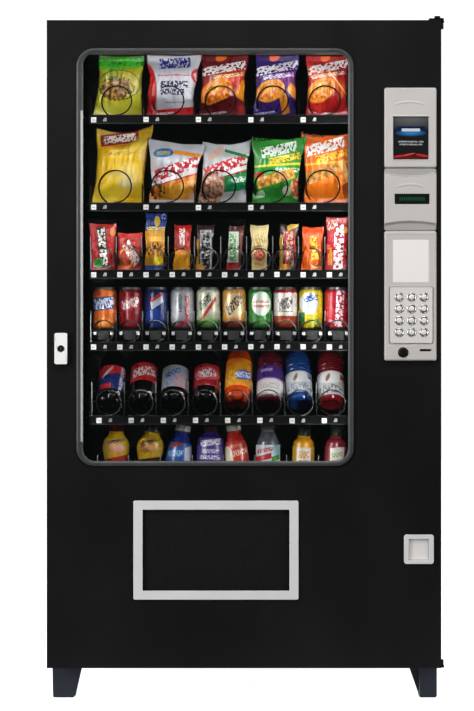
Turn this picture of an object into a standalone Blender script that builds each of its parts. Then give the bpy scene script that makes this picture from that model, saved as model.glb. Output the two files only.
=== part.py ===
"""A glass-front snack vending machine with spiral trays, built from separate solids.

Metres, +Z up. The front faces -Y, the hinges are on the +X side. Every shape is placed in
cabinet coordinates: x from the middle of the cabinet, y from the middle of its depth, z from
the floor. The empty "machine" then centres the whole outline, hinge pins included, on the origin.
"""
import bpy
import bmesh
from math import cos, pi, radians, sin
from mathutils import Matrix, Vector

# ---- Driving dimensions -------------------------------------------------------------------
HALF_WIDTH = 0.527
DOOR_TOP = 1.829
DOOR_BOTTOM = 0.099
DOOR_FRONT = -0.457
DOOR_BACK = -0.387
CABINET_FRONT = -0.379
CABINET_BACK = 0.457
CABINET_TOP = 1.831
SHEET = 0.002
GAP = 0.0003
CENTRING = Vector((-0.00635, 0.0086, 0.0))

# Window opening and its trim (x low, x high, z low, z high)
TRIM_OUTER = (-0.4473, 0.2925, 0.6387, 1.7532)
TRIM_INNER = (-0.4294, 0.2776, 0.652, 1.7412)
TRIM_OUTER_RADIUS = 0.038
TRIM_INNER_RADIUS = 0.024
TRIM_PROUD = 0.006

# Delivery opening
DELIVERY_OUTER = (-0.2952, 0.1455, 0.2821, 0.5463)
DELIVERY_INNER = (-0.2704, 0.1212, 0.3061, 0.522)

# Coin cup
CUP_OUTER = (0.4268, 0.5063, 0.3774, 0.4558)
CUP_INNER = (0.4399, 0.4924, 0.3889, 0.4436)
CUP_BACK = -0.412

# Payment column
PAY_LEFT = 0.3742
PAY_RIGHT = 0.513
PAY_FRONT = -0.469
PAY_STEP = -0.4635
PAY_TOP = (1.434, 1.6476)
PAY_MIDDLE = (1.2855, 1.4111)
PAY_MIDDLE_STEPS = (1.2661, 1.4335)
PAY_LOWER = (0.9198, 1.2655)
PICTURE = (0.3971, 0.4924, 1.4559, 1.5704)
DISPLAY = (0.4012, 0.4943, 1.3366, 1.3646)
BLANK = (0.3963, 0.4927, 1.1284, 1.2429)
KEYPAD = (0.3889, 0.5018, 0.967, 1.1154)
KEYPAD_FRONT = -0.472
KEY_COLUMNS = (0.4134, 0.4463, 0.4791)
KEY_TOP_ROW = 1.0893
KEY_ROW_PITCH = 0.0313
KEY_ROWS = 4
KEY_RADIUS = 0.0118
KEY_HOLE_RADIUS = 0.0126
RETURN_CENTRE = (0.4241, 0.9416)
RETURN_RADIUS = 0.0115
COIN_SLOT = (0.4692, 0.4983, 0.9453, 0.9497)

# Lock and folding T handle
LOCK_CENTRE = (-0.488, 0.9515)
HANDLE = (-0.505, -0.4711, 0.9104, 0.9937)
HANDLE_FACES = (-0.4715, -0.4635)
STEM_RADIUS = 0.014
LOCK_RADIUS = 0.0095

# Door hinge
HINGE_X = 0.5337
HINGE_Y = -0.383
KNUCKLE_RADIUS = 0.006
KNUCKLE_HEIGHT = 0.0135
PIN_RADIUS = 0.003
PIN_HOLE_RADIUS = 0.0035

# Cold compartment: insulated box inside the cabinet
LINER_OUTER = (-0.497, 0.330, 0.529, 1.790)
LINER_INNER = (-0.477, 0.310, 0.540, 1.770)
LINER_FRONT = -0.370
LINER_BACK = 0.420
LINER_INNER_BACK = 0.400

# Trays: each row's front rail mid height, its number of columns and its dividers' height
TRAY_LEFT = -0.4222
TRAY_RIGHT = 0.2941
TRAY_FRONT = -0.309
TRAY_REAR = 0.340
TRAY_SHEET = 0.0015
RAIL_THICKNESS = 0.003
RAIL_HEIGHT = 0.0227
TRAY_ROWS = (
    (1.5797, 5, 0.055),
    (1.3398, 5, 0.055),
    (1.1559, 10, 0.050),
    (0.9583, 10, 0.060),
    (0.7568, 8, 0.065),
    (0.5567, 8, 0.065),
)
# Space left of the first column and right of the last one, on the two bottle trays only.
BOTTLE_TRAY_MARGINS = {5: (0.006, 0.006), 6: (0.020, 0.004)}
MOTOR_WALL_HEIGHT = 0.090

# Spirals of the top tray
COIL_RADIUS = 0.0425
COIL_WIRE = 0.002
COIL_PITCH = 0.0875
COIL_TURNS = 6
COIL_STEPS_PER_TURN = 10
COIL_START = -0.303

# Base compartment
LEG_FRONT = -0.320
FOOT_SHEET = 0.003
DECK_FRONT = -0.185
DECK_TOP = 0.122


# ---- Mesh helpers -------------------------------------------------------------------------
def rectangle(bounds):
    """Four corners of (low a, high a, low b, high b)."""
    a0, a1, b0, b1 = bounds
    return [(a0, b0), (a1, b0), (a1, b1), (a0, b1)]


def rounded_rectangle(bounds, radius, steps=5):
    """A rectangle with quarter-circle corners."""
    a0, a1, b0, b1 = bounds
    centres = (
        (a1 - radius, b0 + radius, -pi / 2),
        (a1 - radius, b1 - radius, 0.0),
        (a0 + radius, b1 - radius, pi / 2),
        (a0 + radius, b0 + radius, pi),
    )
    outline = []
    for centre_a, centre_b, start in centres:
        for step in range(steps + 1):
            angle = start + step / steps * pi / 2
            outline.append((centre_a + radius * cos(angle), centre_b + radius * sin(angle)))
    return outline


def circle(centre, radius, sides=24):
    """Points of a circle around a centre."""
    points = []
    for step in range(sides):
        angle = 2 * pi * step / sides
        points.append((centre[0] + radius * cos(angle), centre[1] + radius * sin(angle)))
    return points


def place(axis, a, b, along):
    """A 3-D point from two outline coordinates and the distance along the extrusion axis."""
    if axis == "X":
        return (along, a, b)
    if axis == "Y":
        return (a, along, b)
    return (a, b, along)


def prism(outline, axis, start, end):
    """An outline extruded along an axis."""
    mesh = bmesh.new()
    near = [mesh.verts.new(place(axis, a, b, start)) for a, b in outline]
    far = [mesh.verts.new(place(axis, a, b, end)) for a, b in outline]
    mesh.faces.new(near)
    mesh.faces.new(far)
    count = len(outline)
    for index in range(count):
        after = (index + 1) % count
        mesh.faces.new((near[index], near[after], far[after], far[index]))
    bmesh.ops.recalc_face_normals(mesh, faces=mesh.faces)
    return mesh


def frame(outer, inner, axis, start, end):
    """A ring between two outlines with the same number of points."""
    mesh = bmesh.new()
    loops = []
    for outline, along in ((outer, start), (outer, end), (inner, end), (inner, start)):
        loops.append([mesh.verts.new(place(axis, a, b, along)) for a, b in outline])
    count = len(outer)
    for side in range(4):
        first = loops[side]
        second = loops[(side + 1) % 4]
        for index in range(count):
            after = (index + 1) % count
            mesh.faces.new((first[index], first[after], second[after], second[index]))
    bmesh.ops.recalc_face_normals(mesh, faces=mesh.faces)
    return mesh


def box(x_range, y_range, z_range):
    """A block from three ranges."""
    return prism(rectangle((*x_range, *z_range)), "Y", *y_range)


def turned(profile, centre, axis, sides=24):
    """A closed solid of revolution: profile holds (radius, distance along the axis)."""
    mesh = bmesh.new()
    rings = []
    for radius, along in profile:
        if radius == 0.0:
            rings.append([mesh.verts.new(place(axis, centre[0], centre[1], along))])
        else:
            points = circle(centre, radius, sides)
            rings.append([mesh.verts.new(place(axis, a, b, along)) for a, b in points])
    for first, second in zip(rings, rings[1:]):
        for index in range(sides):
            after = (index + 1) % sides
            corners = [first[index % len(first)], first[after % len(first)]]
            corners += [second[after % len(second)], second[index % len(second)]]
            unique = list(dict.fromkeys(corners))
            mesh.faces.new(unique)
    bmesh.ops.recalc_face_normals(mesh, faces=mesh.faces)
    return mesh


def swept_wire(points, radius, sides=4):
    """A round wire along a list of points."""
    mesh = bmesh.new()
    rings = []
    up = Vector((0.0, 0.0, 1.0))
    last = len(points) - 1
    for index, point in enumerate(points):
        ahead = points[min(index + 1, last)]
        behind = points[max(index - 1, 0)]
        tangent = (ahead - behind).normalized()
        across = tangent.cross(up)
        if across.length < 0.2:
            across = tangent.cross(Vector((0.0, 1.0, 0.0)))
        across.normalize()
        up = across.cross(tangent).normalized()
        ring = []
        for step in range(sides):
            angle = 2 * pi * (step + 0.5) / sides
            offset = across * (radius * cos(angle)) + up * (radius * sin(angle))
            ring.append(mesh.verts.new(point + offset))
        rings.append(ring)
    for first, second in zip(rings, rings[1:]):
        for step in range(sides):
            after = (step + 1) % sides
            mesh.faces.new((first[step], first[after], second[after], second[step]))
    mesh.faces.new(rings[0])
    mesh.faces.new(rings[-1])
    bmesh.ops.recalc_face_normals(mesh, faces=mesh.faces)
    return mesh


# ---- Scene helpers ------------------------------------------------------------------------
def clear_scene():
    """Remove every object of the open scene."""
    for item in list(bpy.data.objects):
        bpy.data.objects.remove(item, do_unlink=True)


def make_material(name, colour, roughness, metallic=0.0):
    """A plain Principled material."""
    material = bpy.data.materials.new(name)
    material.use_nodes = True
    shader = material.node_tree.nodes["Principled BSDF"]
    shader.inputs["Base Color"].default_value = (*colour, 1.0)
    shader.inputs["Roughness"].default_value = roughness
    shader.inputs["Metallic"].default_value = metallic
    return material


def add(name, mesh, material, pivot=(0.0, 0.0, 0.0)):
    """Put a solid in the scene, with its origin at its pivot, under the machine empty."""
    bmesh.ops.translate(mesh, verts=mesh.verts, vec=-Vector(pivot))
    data = bpy.data.meshes.new(name)
    mesh.to_mesh(data)
    mesh.free()
    data.materials.append(material)
    data.shade_smooth()
    data.set_sharp_from_angle(angle=radians(35))
    item = bpy.data.objects.new(name, data)
    bpy.context.scene.collection.objects.link(item)
    item.parent = MACHINE
    item.location = pivot
    return item


def shape_with(target, mesh, operation):
    """Cut a tool out of a solid (DIFFERENCE) or join it on (UNION)."""
    count = sum(1 for modifier in target.modifiers if modifier.type == "BOOLEAN")
    tool = add(f"tool_{target.name}_{count}", mesh, STEEL_DARK)
    tool.hide_render = True
    tool.display_type = "WIRE"
    modifier = target.modifiers.new(f"{operation.lower()}_{count}", "BOOLEAN")
    modifier.operation = operation
    modifier.solver = "EXACT"
    modifier.object = tool


def cut(target, mesh):
    shape_with(target, mesh, "DIFFERENCE")


def join(target, mesh):
    shape_with(target, mesh, "UNION")


clear_scene()
MACHINE = bpy.data.objects.new("machine", None)
bpy.context.scene.collection.objects.link(MACHINE)
MACHINE.location = CENTRING

BLACK_POWDER = make_material("black_powder_coat", (0.012, 0.012, 0.014), 0.55)
TRIM_BLACK = make_material("trim_plastic", (0.06, 0.06, 0.065), 0.4)
WARM_GREY = make_material("warm_grey_plastic", (0.55, 0.53, 0.50), 0.45)
LIGHT_GREY = make_material("light_grey_plastic", (0.62, 0.62, 0.62), 0.45)
FLAP_BLACK = make_material("flap_black", (0.01, 0.01, 0.011), 0.7)
GALVANISED = make_material("galvanised_steel", (0.45, 0.46, 0.47), 0.4, 0.9)
STEEL_DARK = make_material("dark_steel", (0.04, 0.045, 0.06), 0.45, 0.2)
CHROME = make_material("chrome", (0.75, 0.75, 0.75), 0.15, 1.0)
LINER_DARK = make_material("liner_plastic", (0.02, 0.02, 0.022), 0.6)
GLASS = make_material("glass", (0.75, 0.8, 0.8), 0.05)
RUBBER = make_material("gasket_rubber", (0.02, 0.02, 0.02), 0.8)
ALUMINIUM = make_material("fin_aluminium", (0.6, 0.6, 0.62), 0.4, 1.0)
LENS = make_material("display_lens", (0.01, 0.02, 0.015), 0.1)
DIFFUSER = make_material("lamp_diffuser", (0.85, 0.85, 0.82), 0.4)
BRACKET_BLACK = make_material("black_steel", (0.02, 0.02, 0.022), 0.4, 0.3)


# ---- Cabinet ------------------------------------------------------------------------------
def make_cabinet():
    """Outer wrap, rear panel and base pan."""
    w = HALF_WIDTH
    outline = [
        (-w, DOOR_BOTTOM),
        (-w, CABINET_TOP),
        (w, CABINET_TOP),
        (w, DOOR_BOTTOM),
        (w - SHEET, DOOR_BOTTOM),
        (w - SHEET, CABINET_TOP - SHEET),
        (-w + SHEET, CABINET_TOP - SHEET),
        (-w + SHEET, DOOR_BOTTOM),
    ]
    add("cabinet_wrap", prism(outline, "Y", CABINET_FRONT, CABINET_BACK - SHEET), BLACK_POWDER)

    rear_y = CABINET_BACK - SHEET + GAP
    rear = add(
        "rear_panel",
        box((-w, w), (rear_y, CABINET_BACK), (DOOR_BOTTOM, CABINET_TOP)),
        GALVANISED,
    )
    for side in (-1, 1):
        for level in range(6):
            z = 0.20 + 0.04 * level
            x = side * 0.22
            slot = box((x - 0.12, x + 0.12), (rear_y - 0.01, CABINET_BACK + 0.01), (z, z + 0.014))
            cut(rear, slot)

    inner = w - SHEET - GAP
    front = CABINET_FRONT
    back = CABINET_BACK - SHEET - GAP
    lip = 0.040
    pan_profile = [
        (front, DOOR_BOTTOM),
        (back, DOOR_BOTTOM),
        (back, DOOR_BOTTOM + lip),
        (back - SHEET, DOOR_BOTTOM + lip),
        (back - SHEET, DOOR_BOTTOM + SHEET),
        (front + SHEET, DOOR_BOTTOM + SHEET),
        (front + SHEET, DOOR_BOTTOM + lip),
        (front, DOOR_BOTTOM + lip),
    ]
    add("base_pan", prism(pan_profile, "X", -inner, inner), STEEL_DARK)


def make_front_left_leg():
    """A pressed leg: a tapered front face and a side flange behind it."""
    top = DOOR_BOTTOM - GAP
    outline = [
        (-0.5229, top),
        (-0.5212, 0.006),
        (-0.5150, 0.0),
        (-0.4660, 0.0),
        (-0.4590, 0.006),
        (-0.4380, top),
    ]
    leg = add("front_left_leg", prism(outline, "Y", LEG_FRONT, LEG_FRONT + 0.003), STEEL_DARK)
    flange = box((-0.5205, -0.5175), (LEG_FRONT + 0.001, LEG_FRONT + 0.070), (0.0, top))
    join(leg, flange)
    join(leg, box((-0.5180, -0.4680), (LEG_FRONT + 0.001, LEG_FRONT + 0.060), (0.0, FOOT_SHEET)))


def make_front_right_leg():
    """The hinge-side leg: a straight front face with a tapered gusset set back behind it."""
    top = DOOR_BOTTOM - GAP
    face = prism(
        rounded_rectangle((0.4800, HALF_WIDTH, 0.0, top), 0.005, 2), "Y", LEG_FRONT, LEG_FRONT + 0.003
    )
    leg = add("front_right_leg", face, STEEL_DARK)
    join(leg, box((0.4802, 0.4832), (LEG_FRONT + 0.001, LEG_FRONT + 0.060), (0.001, top - 0.001)))
    gusset = [(0.4815, 0.0), (0.4815, top - 0.002), (0.4475, top - 0.002)]
    join(leg, prism(gusset, "Y", LEG_FRONT + 0.040, LEG_FRONT + 0.043))
    join(leg, box((0.4828, 0.5220), (LEG_FRONT + 0.001, LEG_FRONT + 0.059), (0.0, FOOT_SHEET)))


def make_rear_leg(name, side):
    """A narrow angle leg at a rear corner."""
    top = DOOR_BOTTOM - GAP
    outer = side * 0.520
    inner = side * 0.478
    rear = CABINET_BACK - 0.020
    outline = [
        (outer, rear),
        (inner, rear),
        (inner, rear - 0.003),
        (outer - side * 0.003, rear - 0.003),
        (outer - side * 0.003, rear - 0.060),
        (outer, rear - 0.060),
    ]
    leg = add(name, prism(outline, "Z", 0.0, top), STEEL_DARK)
    across = sorted((inner, outer - side * 0.001))
    join(leg, box(across, (rear - 0.058, rear - 0.001), (0.0, FOOT_SHEET)))


def make_liner():
    """The foam-filled inner cabinet, open at the front, with a drop slot in its floor."""
    x0, x1, z0, z1 = LINER_OUTER
    liner = add(
        "insulated_liner", box((x0, x1), (LINER_FRONT, LINER_BACK), (z0, z1)), LINER_DARK
    )
    ix0, ix1, iz0, iz1 = LINER_INNER
    cut(liner, box((ix0, ix1), (LINER_FRONT - 0.02, LINER_INNER_BACK), (iz0, iz1)))
    cut(liner, box((-0.300, 0.150), (LINER_FRONT - 0.03, TRAY_FRONT), (z0 - 0.02, iz0 + 0.02)))


def make_tray_rails(name, wall, inward):
    """A slotted upright with one ledge under the side of every tray."""
    width = abs(inward)
    direction = 1 if inward > 0 else -1
    face = wall + direction * GAP
    ledge = 0.0015
    outline = [(face, LINER_INNER[2] + GAP)]
    outline.append((face, 1.620))
    outline.append((face + direction * TRAY_SHEET, 1.620))
    for mid, _, _ in TRAY_ROWS:
        top = floor_height(mid) - TRAY_SHEET - GAP
        outline.append((face + direction * TRAY_SHEET, top))
        outline.append((face + direction * width, top))
        outline.append((face + direction * width, top - ledge))
        outline.append((face + direction * TRAY_SHEET, top - ledge))
    outline.append((face + direction * TRAY_SHEET, LINER_INNER[2] + GAP))
    add(name, prism(outline, "Y", TRAY_FRONT + 0.006, TRAY_REAR), GALVANISED)


def floor_height(rail_mid):
    """Top of a tray's floor, just under the top of its front rail."""
    return rail_mid + RAIL_HEIGHT / 2 - 0.002


def make_refrigeration():
    """The cooling unit in the base: deck, compressor, condenser and fan."""
    front = DECK_FRONT
    back = 0.430
    deck = [
        (front, DOOR_BOTTOM + SHEET + GAP),
        (back, DOOR_BOTTOM + SHEET + GAP),
        (back, DECK_TOP),
        (front, DECK_TOP),
        (front, DECK_TOP - SHEET),
        (back - SHEET, DECK_TOP - SHEET),
        (back - SHEET, DOOR_BOTTOM + 2 * SHEET + GAP),
        (front, DOOR_BOTTOM + 2 * SHEET + GAP),
    ]
    add("refrigeration_deck", prism(deck, "X", -0.42, 0.42), GALVANISED)

    low = DECK_TOP + GAP
    shell = [
        (0.0, low),
        (0.075, low),
        (0.075, low + 0.010),
        (0.095, low + 0.030),
        (0.100, low + 0.060),
        (0.100, low + 0.150),
        (0.092, low + 0.185),
        (0.070, low + 0.208),
        (0.035, low + 0.220),
        (0.0, low + 0.223),
    ]
    add("compressor", turned(shell, (0.20, 0.20), "Z"), BRACKET_BLACK)

    comb = [(-0.36, low), (-0.36, low + 0.26)]
    fins = 16
    pitch = 0.30 / fins
    for index in range(fins):
        x = -0.36 + index * pitch
        comb.append((x + pitch * 0.35, low + 0.26))
        comb.append((x + pitch * 0.35, low + 0.03))
        comb.append((x + pitch, low + 0.03))
        comb.append((x + pitch, low + 0.26))
    comb.append((-0.06 + pitch * 0.35, low + 0.26))
    comb.append((-0.06 + pitch * 0.35, low))
    add("condenser", prism(comb, "Y", -0.17, -0.12), ALUMINIUM)

    centre = (-0.21, low + 0.145)
    hub = turned([(0.0, -0.100), (0.03, -0.100), (0.03, -0.060), (0.0, -0.060)], centre, "Y")
    fan = add("condenser_fan", hub, FLAP_BLACK, pivot=(centre[0], -0.08, centre[1]))
    for blade in range(4):
        angle = blade * pi / 2
        mesh = box((0.018, 0.105), (-0.0015, 0.0015), (-0.030, 0.030))
        turn = Matrix.Rotation(angle, 4, "Y") @ Matrix.Rotation(radians(28), 4, "X")
        bmesh.ops.transform(mesh, matrix=turn, verts=mesh.verts)
        bmesh.ops.translate(mesh, verts=mesh.verts, vec=(centre[0], -0.08, centre[1]))
        join(fan, mesh)


def make_hinge_bracket(name, plate_z, pin_z, left, back):
    """A hinge plate on the cabinet, with a pin that enters the door's knuckle."""
    plate = box((left, HINGE_X + 0.006), (-0.400, back), plate_z)
    bracket = add(name, plate, BRACKET_BLACK)
    low = min(*plate_z, *pin_z)
    high = max(*plate_z, *pin_z)
    pin = prism(circle((HINGE_X, HINGE_Y), PIN_RADIUS, 16), "Z", low, high)
    join(bracket, pin)
    return bracket


def make_hinge_brackets():
    """Upper and lower hinge brackets; the upper one carries a raised pin head."""
    pin_high = (DOOR_TOP - 0.011, 1.8455)
    plate_high = (CABINET_TOP + GAP, 1.836)
    upper = make_hinge_bracket("upper_hinge_bracket", plate_high, pin_high, 0.402, -0.250)
    head = prism(circle((0.5225, HINGE_Y), 0.008, 16), "Z", 1.8355, 1.8500)
    join(upper, head)
    rise = [(-0.395, 1.8355), (-0.395, 1.8432), (-0.330, 1.8432), (-0.280, 1.8355)]
    join(upper, prism(rise, "X", 0.500, HINGE_X + 0.0055))
    pin_low = (0.0925, DOOR_BOTTOM + 0.011)
    plate_low = (0.0925, DOOR_BOTTOM - GAP)
    make_hinge_bracket("lower_hinge_bracket", plate_low, pin_low, 0.391, LEG_FRONT - 0.0015)


# ---- Trays and spirals --------------------------------------------------------------------
def make_tray(number, mid, columns, divider_height):
    """A shelf with side flanges, column dividers, a front price rail and a motor wall."""
    floor = floor_height(mid)
    under = floor - TRAY_SHEET
    half = TRAY_SHEET / 2
    left_margin, right_margin = BOTTLE_TRAY_MARGINS.get(number, (0.0, 0.0))
    pitch = (TRAY_RIGHT - TRAY_LEFT - left_margin - right_margin) / columns
    outline = [(TRAY_LEFT, under), (TRAY_RIGHT, under)]
    outline.append((TRAY_RIGHT, floor + divider_height))
    outline.append((TRAY_RIGHT - TRAY_SHEET, floor + divider_height))
    outline.append((TRAY_RIGHT - TRAY_SHEET, floor))
    for index in range(columns - 1, 0, -1):
        x = TRAY_LEFT + left_margin + index * pitch
        outline.append((x + half, floor))
        outline.append((x + half, floor + divider_height))
        outline.append((x - half, floor + divider_height))
        outline.append((x - half, floor))
    outline.append((TRAY_LEFT + TRAY_SHEET, floor))
    outline.append((TRAY_LEFT + TRAY_SHEET, floor + divider_height))
    outline.append((TRAY_LEFT, floor + divider_height))
    pivot = (0.0, TRAY_FRONT, mid)
    mesh = prism(outline, "Y", TRAY_FRONT + 0.002, TRAY_REAR)
    tray = add(f"tray_{number}", mesh, BRACKET_BLACK, pivot=pivot)
    rail_z = (mid - RAIL_HEIGHT / 2, mid + RAIL_HEIGHT / 2)
    edges = (TRAY_LEFT - 0.0005, TRAY_RIGHT + 0.0005)
    join(tray, box(edges, (TRAY_FRONT, TRAY_FRONT + RAIL_THICKNESS), rail_z))
    wall_z = (under + 0.0004, floor + MOTOR_WALL_HEIGHT)
    join(tray, box(edges, (TRAY_REAR - 0.0016, TRAY_REAR + 0.0014), wall_z))


def make_coils():
    """The five spirals of the top tray, each on its own motor axis."""
    mid, columns, _ = TRAY_ROWS[0]
    pitch = (TRAY_RIGHT - TRAY_LEFT) / columns
    axis_z = floor_height(mid) + COIL_RADIUS + COIL_WIRE + 0.001
    steps = COIL_TURNS * COIL_STEPS_PER_TURN
    for index in range(columns):
        axis_x = TRAY_LEFT + (index + 0.5) * pitch
        points = []
        for step in range(steps + 1):
            turn = step / COIL_STEPS_PER_TURN
            angle = 2 * pi * turn - pi / 2
            x = axis_x + COIL_RADIUS * cos(angle)
            y = COIL_START + COIL_PITCH * turn
            z = axis_z + COIL_RADIUS * sin(angle)
            points.append(Vector((x, y, z)))
        points.append(Vector((axis_x, points[-1].y + 0.02, axis_z)))
        points.append(Vector((axis_x, TRAY_REAR - 0.004, axis_z)))
        name = f"coil_{index + 1}"
        add(name, swept_wire(points, COIL_WIRE), BRACKET_BLACK, pivot=(axis_x, COIL_START, axis_z))


# ---- Door ---------------------------------------------------------------------------------
def make_door_panel():
    """The folded steel door: a pan with a returned flange, its cut-outs and hinge knuckles."""
    w = HALF_WIDTH - 0.0004
    depth = (DOOR_FRONT, DOOR_BACK)
    door = add("door_panel", box((-w, w), depth, (DOOR_BOTTOM, DOOR_TOP)), BLACK_POWDER)
    inside = (DOOR_FRONT + SHEET, DOOR_BACK - SHEET)
    hollow = box((-w + SHEET, w - SHEET), inside, (DOOR_BOTTOM + SHEET, DOOR_TOP - SHEET))
    cut(door, hollow)
    flange = 0.027
    mouth = box(
        (-w + flange, w - flange),
        (DOOR_BACK - 2 * SHEET, DOOR_BACK + 0.02),
        (DOOR_BOTTOM + flange, DOOR_TOP - flange),
    )
    cut(door, mouth)
    through = (DOOR_FRONT - 0.02, DOOR_FRONT + 0.02)
    x0, x1, z0, z1 = TRIM_INNER
    grow = 0.005
    window = rounded_rectangle((x0 - grow, x1 + grow, z0 - grow, z1 + grow), 0.028)
    cut(door, prism(window, "Y", *through))
    cut(door, prism(rectangle(DELIVERY_INNER), "Y", *through))
    cut(door, box((0.387, 0.500), through, (0.936, 1.630)))
    cup = (CUP_INNER[0] - 0.004, CUP_INNER[1] + 0.004, CUP_INNER[2] - 0.004, CUP_INNER[3] + 0.004)
    cut(door, prism(rectangle(cup), "Y", *through))
    cut(door, prism(circle(LOCK_CENTRE, STEM_RADIUS + 0.0005), "Y", *through))
    for low in (DOOR_BOTTOM, DOOR_TOP - KNUCKLE_HEIGHT):
        high = low + KNUCKLE_HEIGHT
        join(door, box((w - 0.001, HINGE_X - 0.002), (-0.394, -0.3875), (low, high)))
        knuckle = prism(circle((HINGE_X, HINGE_Y), KNUCKLE_RADIUS, 20), "Z", low, high)
        join(door, knuckle)
        bore = prism(circle((HINGE_X, HINGE_Y), PIN_HOLE_RADIUS, 16), "Z", low - 0.01, high + 0.01)
        cut(door, bore)


def make_window():
    """Glass, its trim, the lamp above it and the seal around the door."""
    x0, x1, z0, z1 = TRIM_INNER
    pane = (x0 - 0.014, x1 + 0.014, z0 - 0.014, z1 + 0.014)
    behind = DOOR_FRONT + SHEET + GAP
    add("window_glass", prism(rounded_rectangle(pane, 0.02), "Y", behind, behind + 0.006), GLASS)
    outer = rounded_rectangle(TRIM_OUTER, TRIM_OUTER_RADIUS)
    inner = rounded_rectangle(TRIM_INNER, TRIM_INNER_RADIUS)
    trim = frame(outer, inner, "Y", DOOR_FRONT - TRIM_PROUD, DOOR_FRONT - GAP)
    add("window_trim", trim, TRIM_BLACK)
    lamp_low = pane[3] + 0.002
    add("light_bar", box((x0, x1), (behind, behind + 0.022), (lamp_low, lamp_low + 0.022)), DIFFUSER)
    w = HALF_WIDTH - 0.006
    seal_outer = (-w, w, DOOR_BOTTOM + 0.006, DOOR_TOP - 0.006)
    seal_inner = (-w + 0.018, w - 0.018, DOOR_BOTTOM + 0.024, DOOR_TOP - 0.024)
    seal = frame(
        rectangle(seal_outer), rectangle(seal_inner), "Y", DOOR_BACK + GAP, CABINET_FRONT - GAP
    )
    add("door_gasket", seal, RUBBER)


def make_delivery():
    """Bezel, flap and bin of the delivery opening."""
    bezel = frame(
        rounded_rectangle(DELIVERY_OUTER, 0.004, 2),
        rounded_rectangle(DELIVERY_INNER, 0.001, 2),
        "Y",
        DOOR_FRONT - 0.005,
        DOOR_FRONT - GAP,
    )
    add("delivery_bezel", bezel, LIGHT_GREY)
    x0, x1, z0, z1 = DELIVERY_INNER
    side = 0.0014
    pivot = (0.0, -0.4515, z1 - 0.004)
    flap = box((x0 + side, x1 - side), (-0.4535, -0.4495), (z0 + side, z1 - side))
    add("delivery_flap", flap, FLAP_BLACK, pivot=pivot)
    near = DOOR_FRONT + SHEET + GAP
    bin_outer = box((x0 - 0.018, x1 + 0.018), (near, -0.226), (z0 - 0.008, z1 + 0.003))
    delivery_bin = add("delivery_bin", bin_outer, BRACKET_BLACK)
    hollow = box((x0 - 0.016, x1 + 0.016), (near - 0.02, -0.228), (z0 - 0.006, z1 + 0.02))
    cut(delivery_bin, hollow)


def make_coin_cup():
    """Flanged cup let into the door, with a small flap across its mouth."""
    x0, x1, z0, z1 = CUP_INNER
    flange = prism(rounded_rectangle(CUP_OUTER, 0.006, 3), "Y", DOOR_FRONT - 0.005, DOOR_FRONT - GAP)
    cup = add("coin_cup", flange, LIGHT_GREY)
    wall = 0.0025
    body = box((x0 - wall, x1 + wall), (DOOR_FRONT - 0.004, CUP_BACK), (z0 - wall, z1 + wall))
    join(cup, body)
    cut(cup, box((x0, x1), (DOOR_FRONT - 0.02, CUP_BACK - wall), (z0, z1)))
    side = 0.0008
    flap = box((x0 + side, x1 - side), (-0.4560, -0.4540), (z0 + side, z1 - side))
    add("coin_flap", flap, LIGHT_GREY, pivot=((x0 + x1) / 2, -0.4550, z1 - 0.0025))


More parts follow.
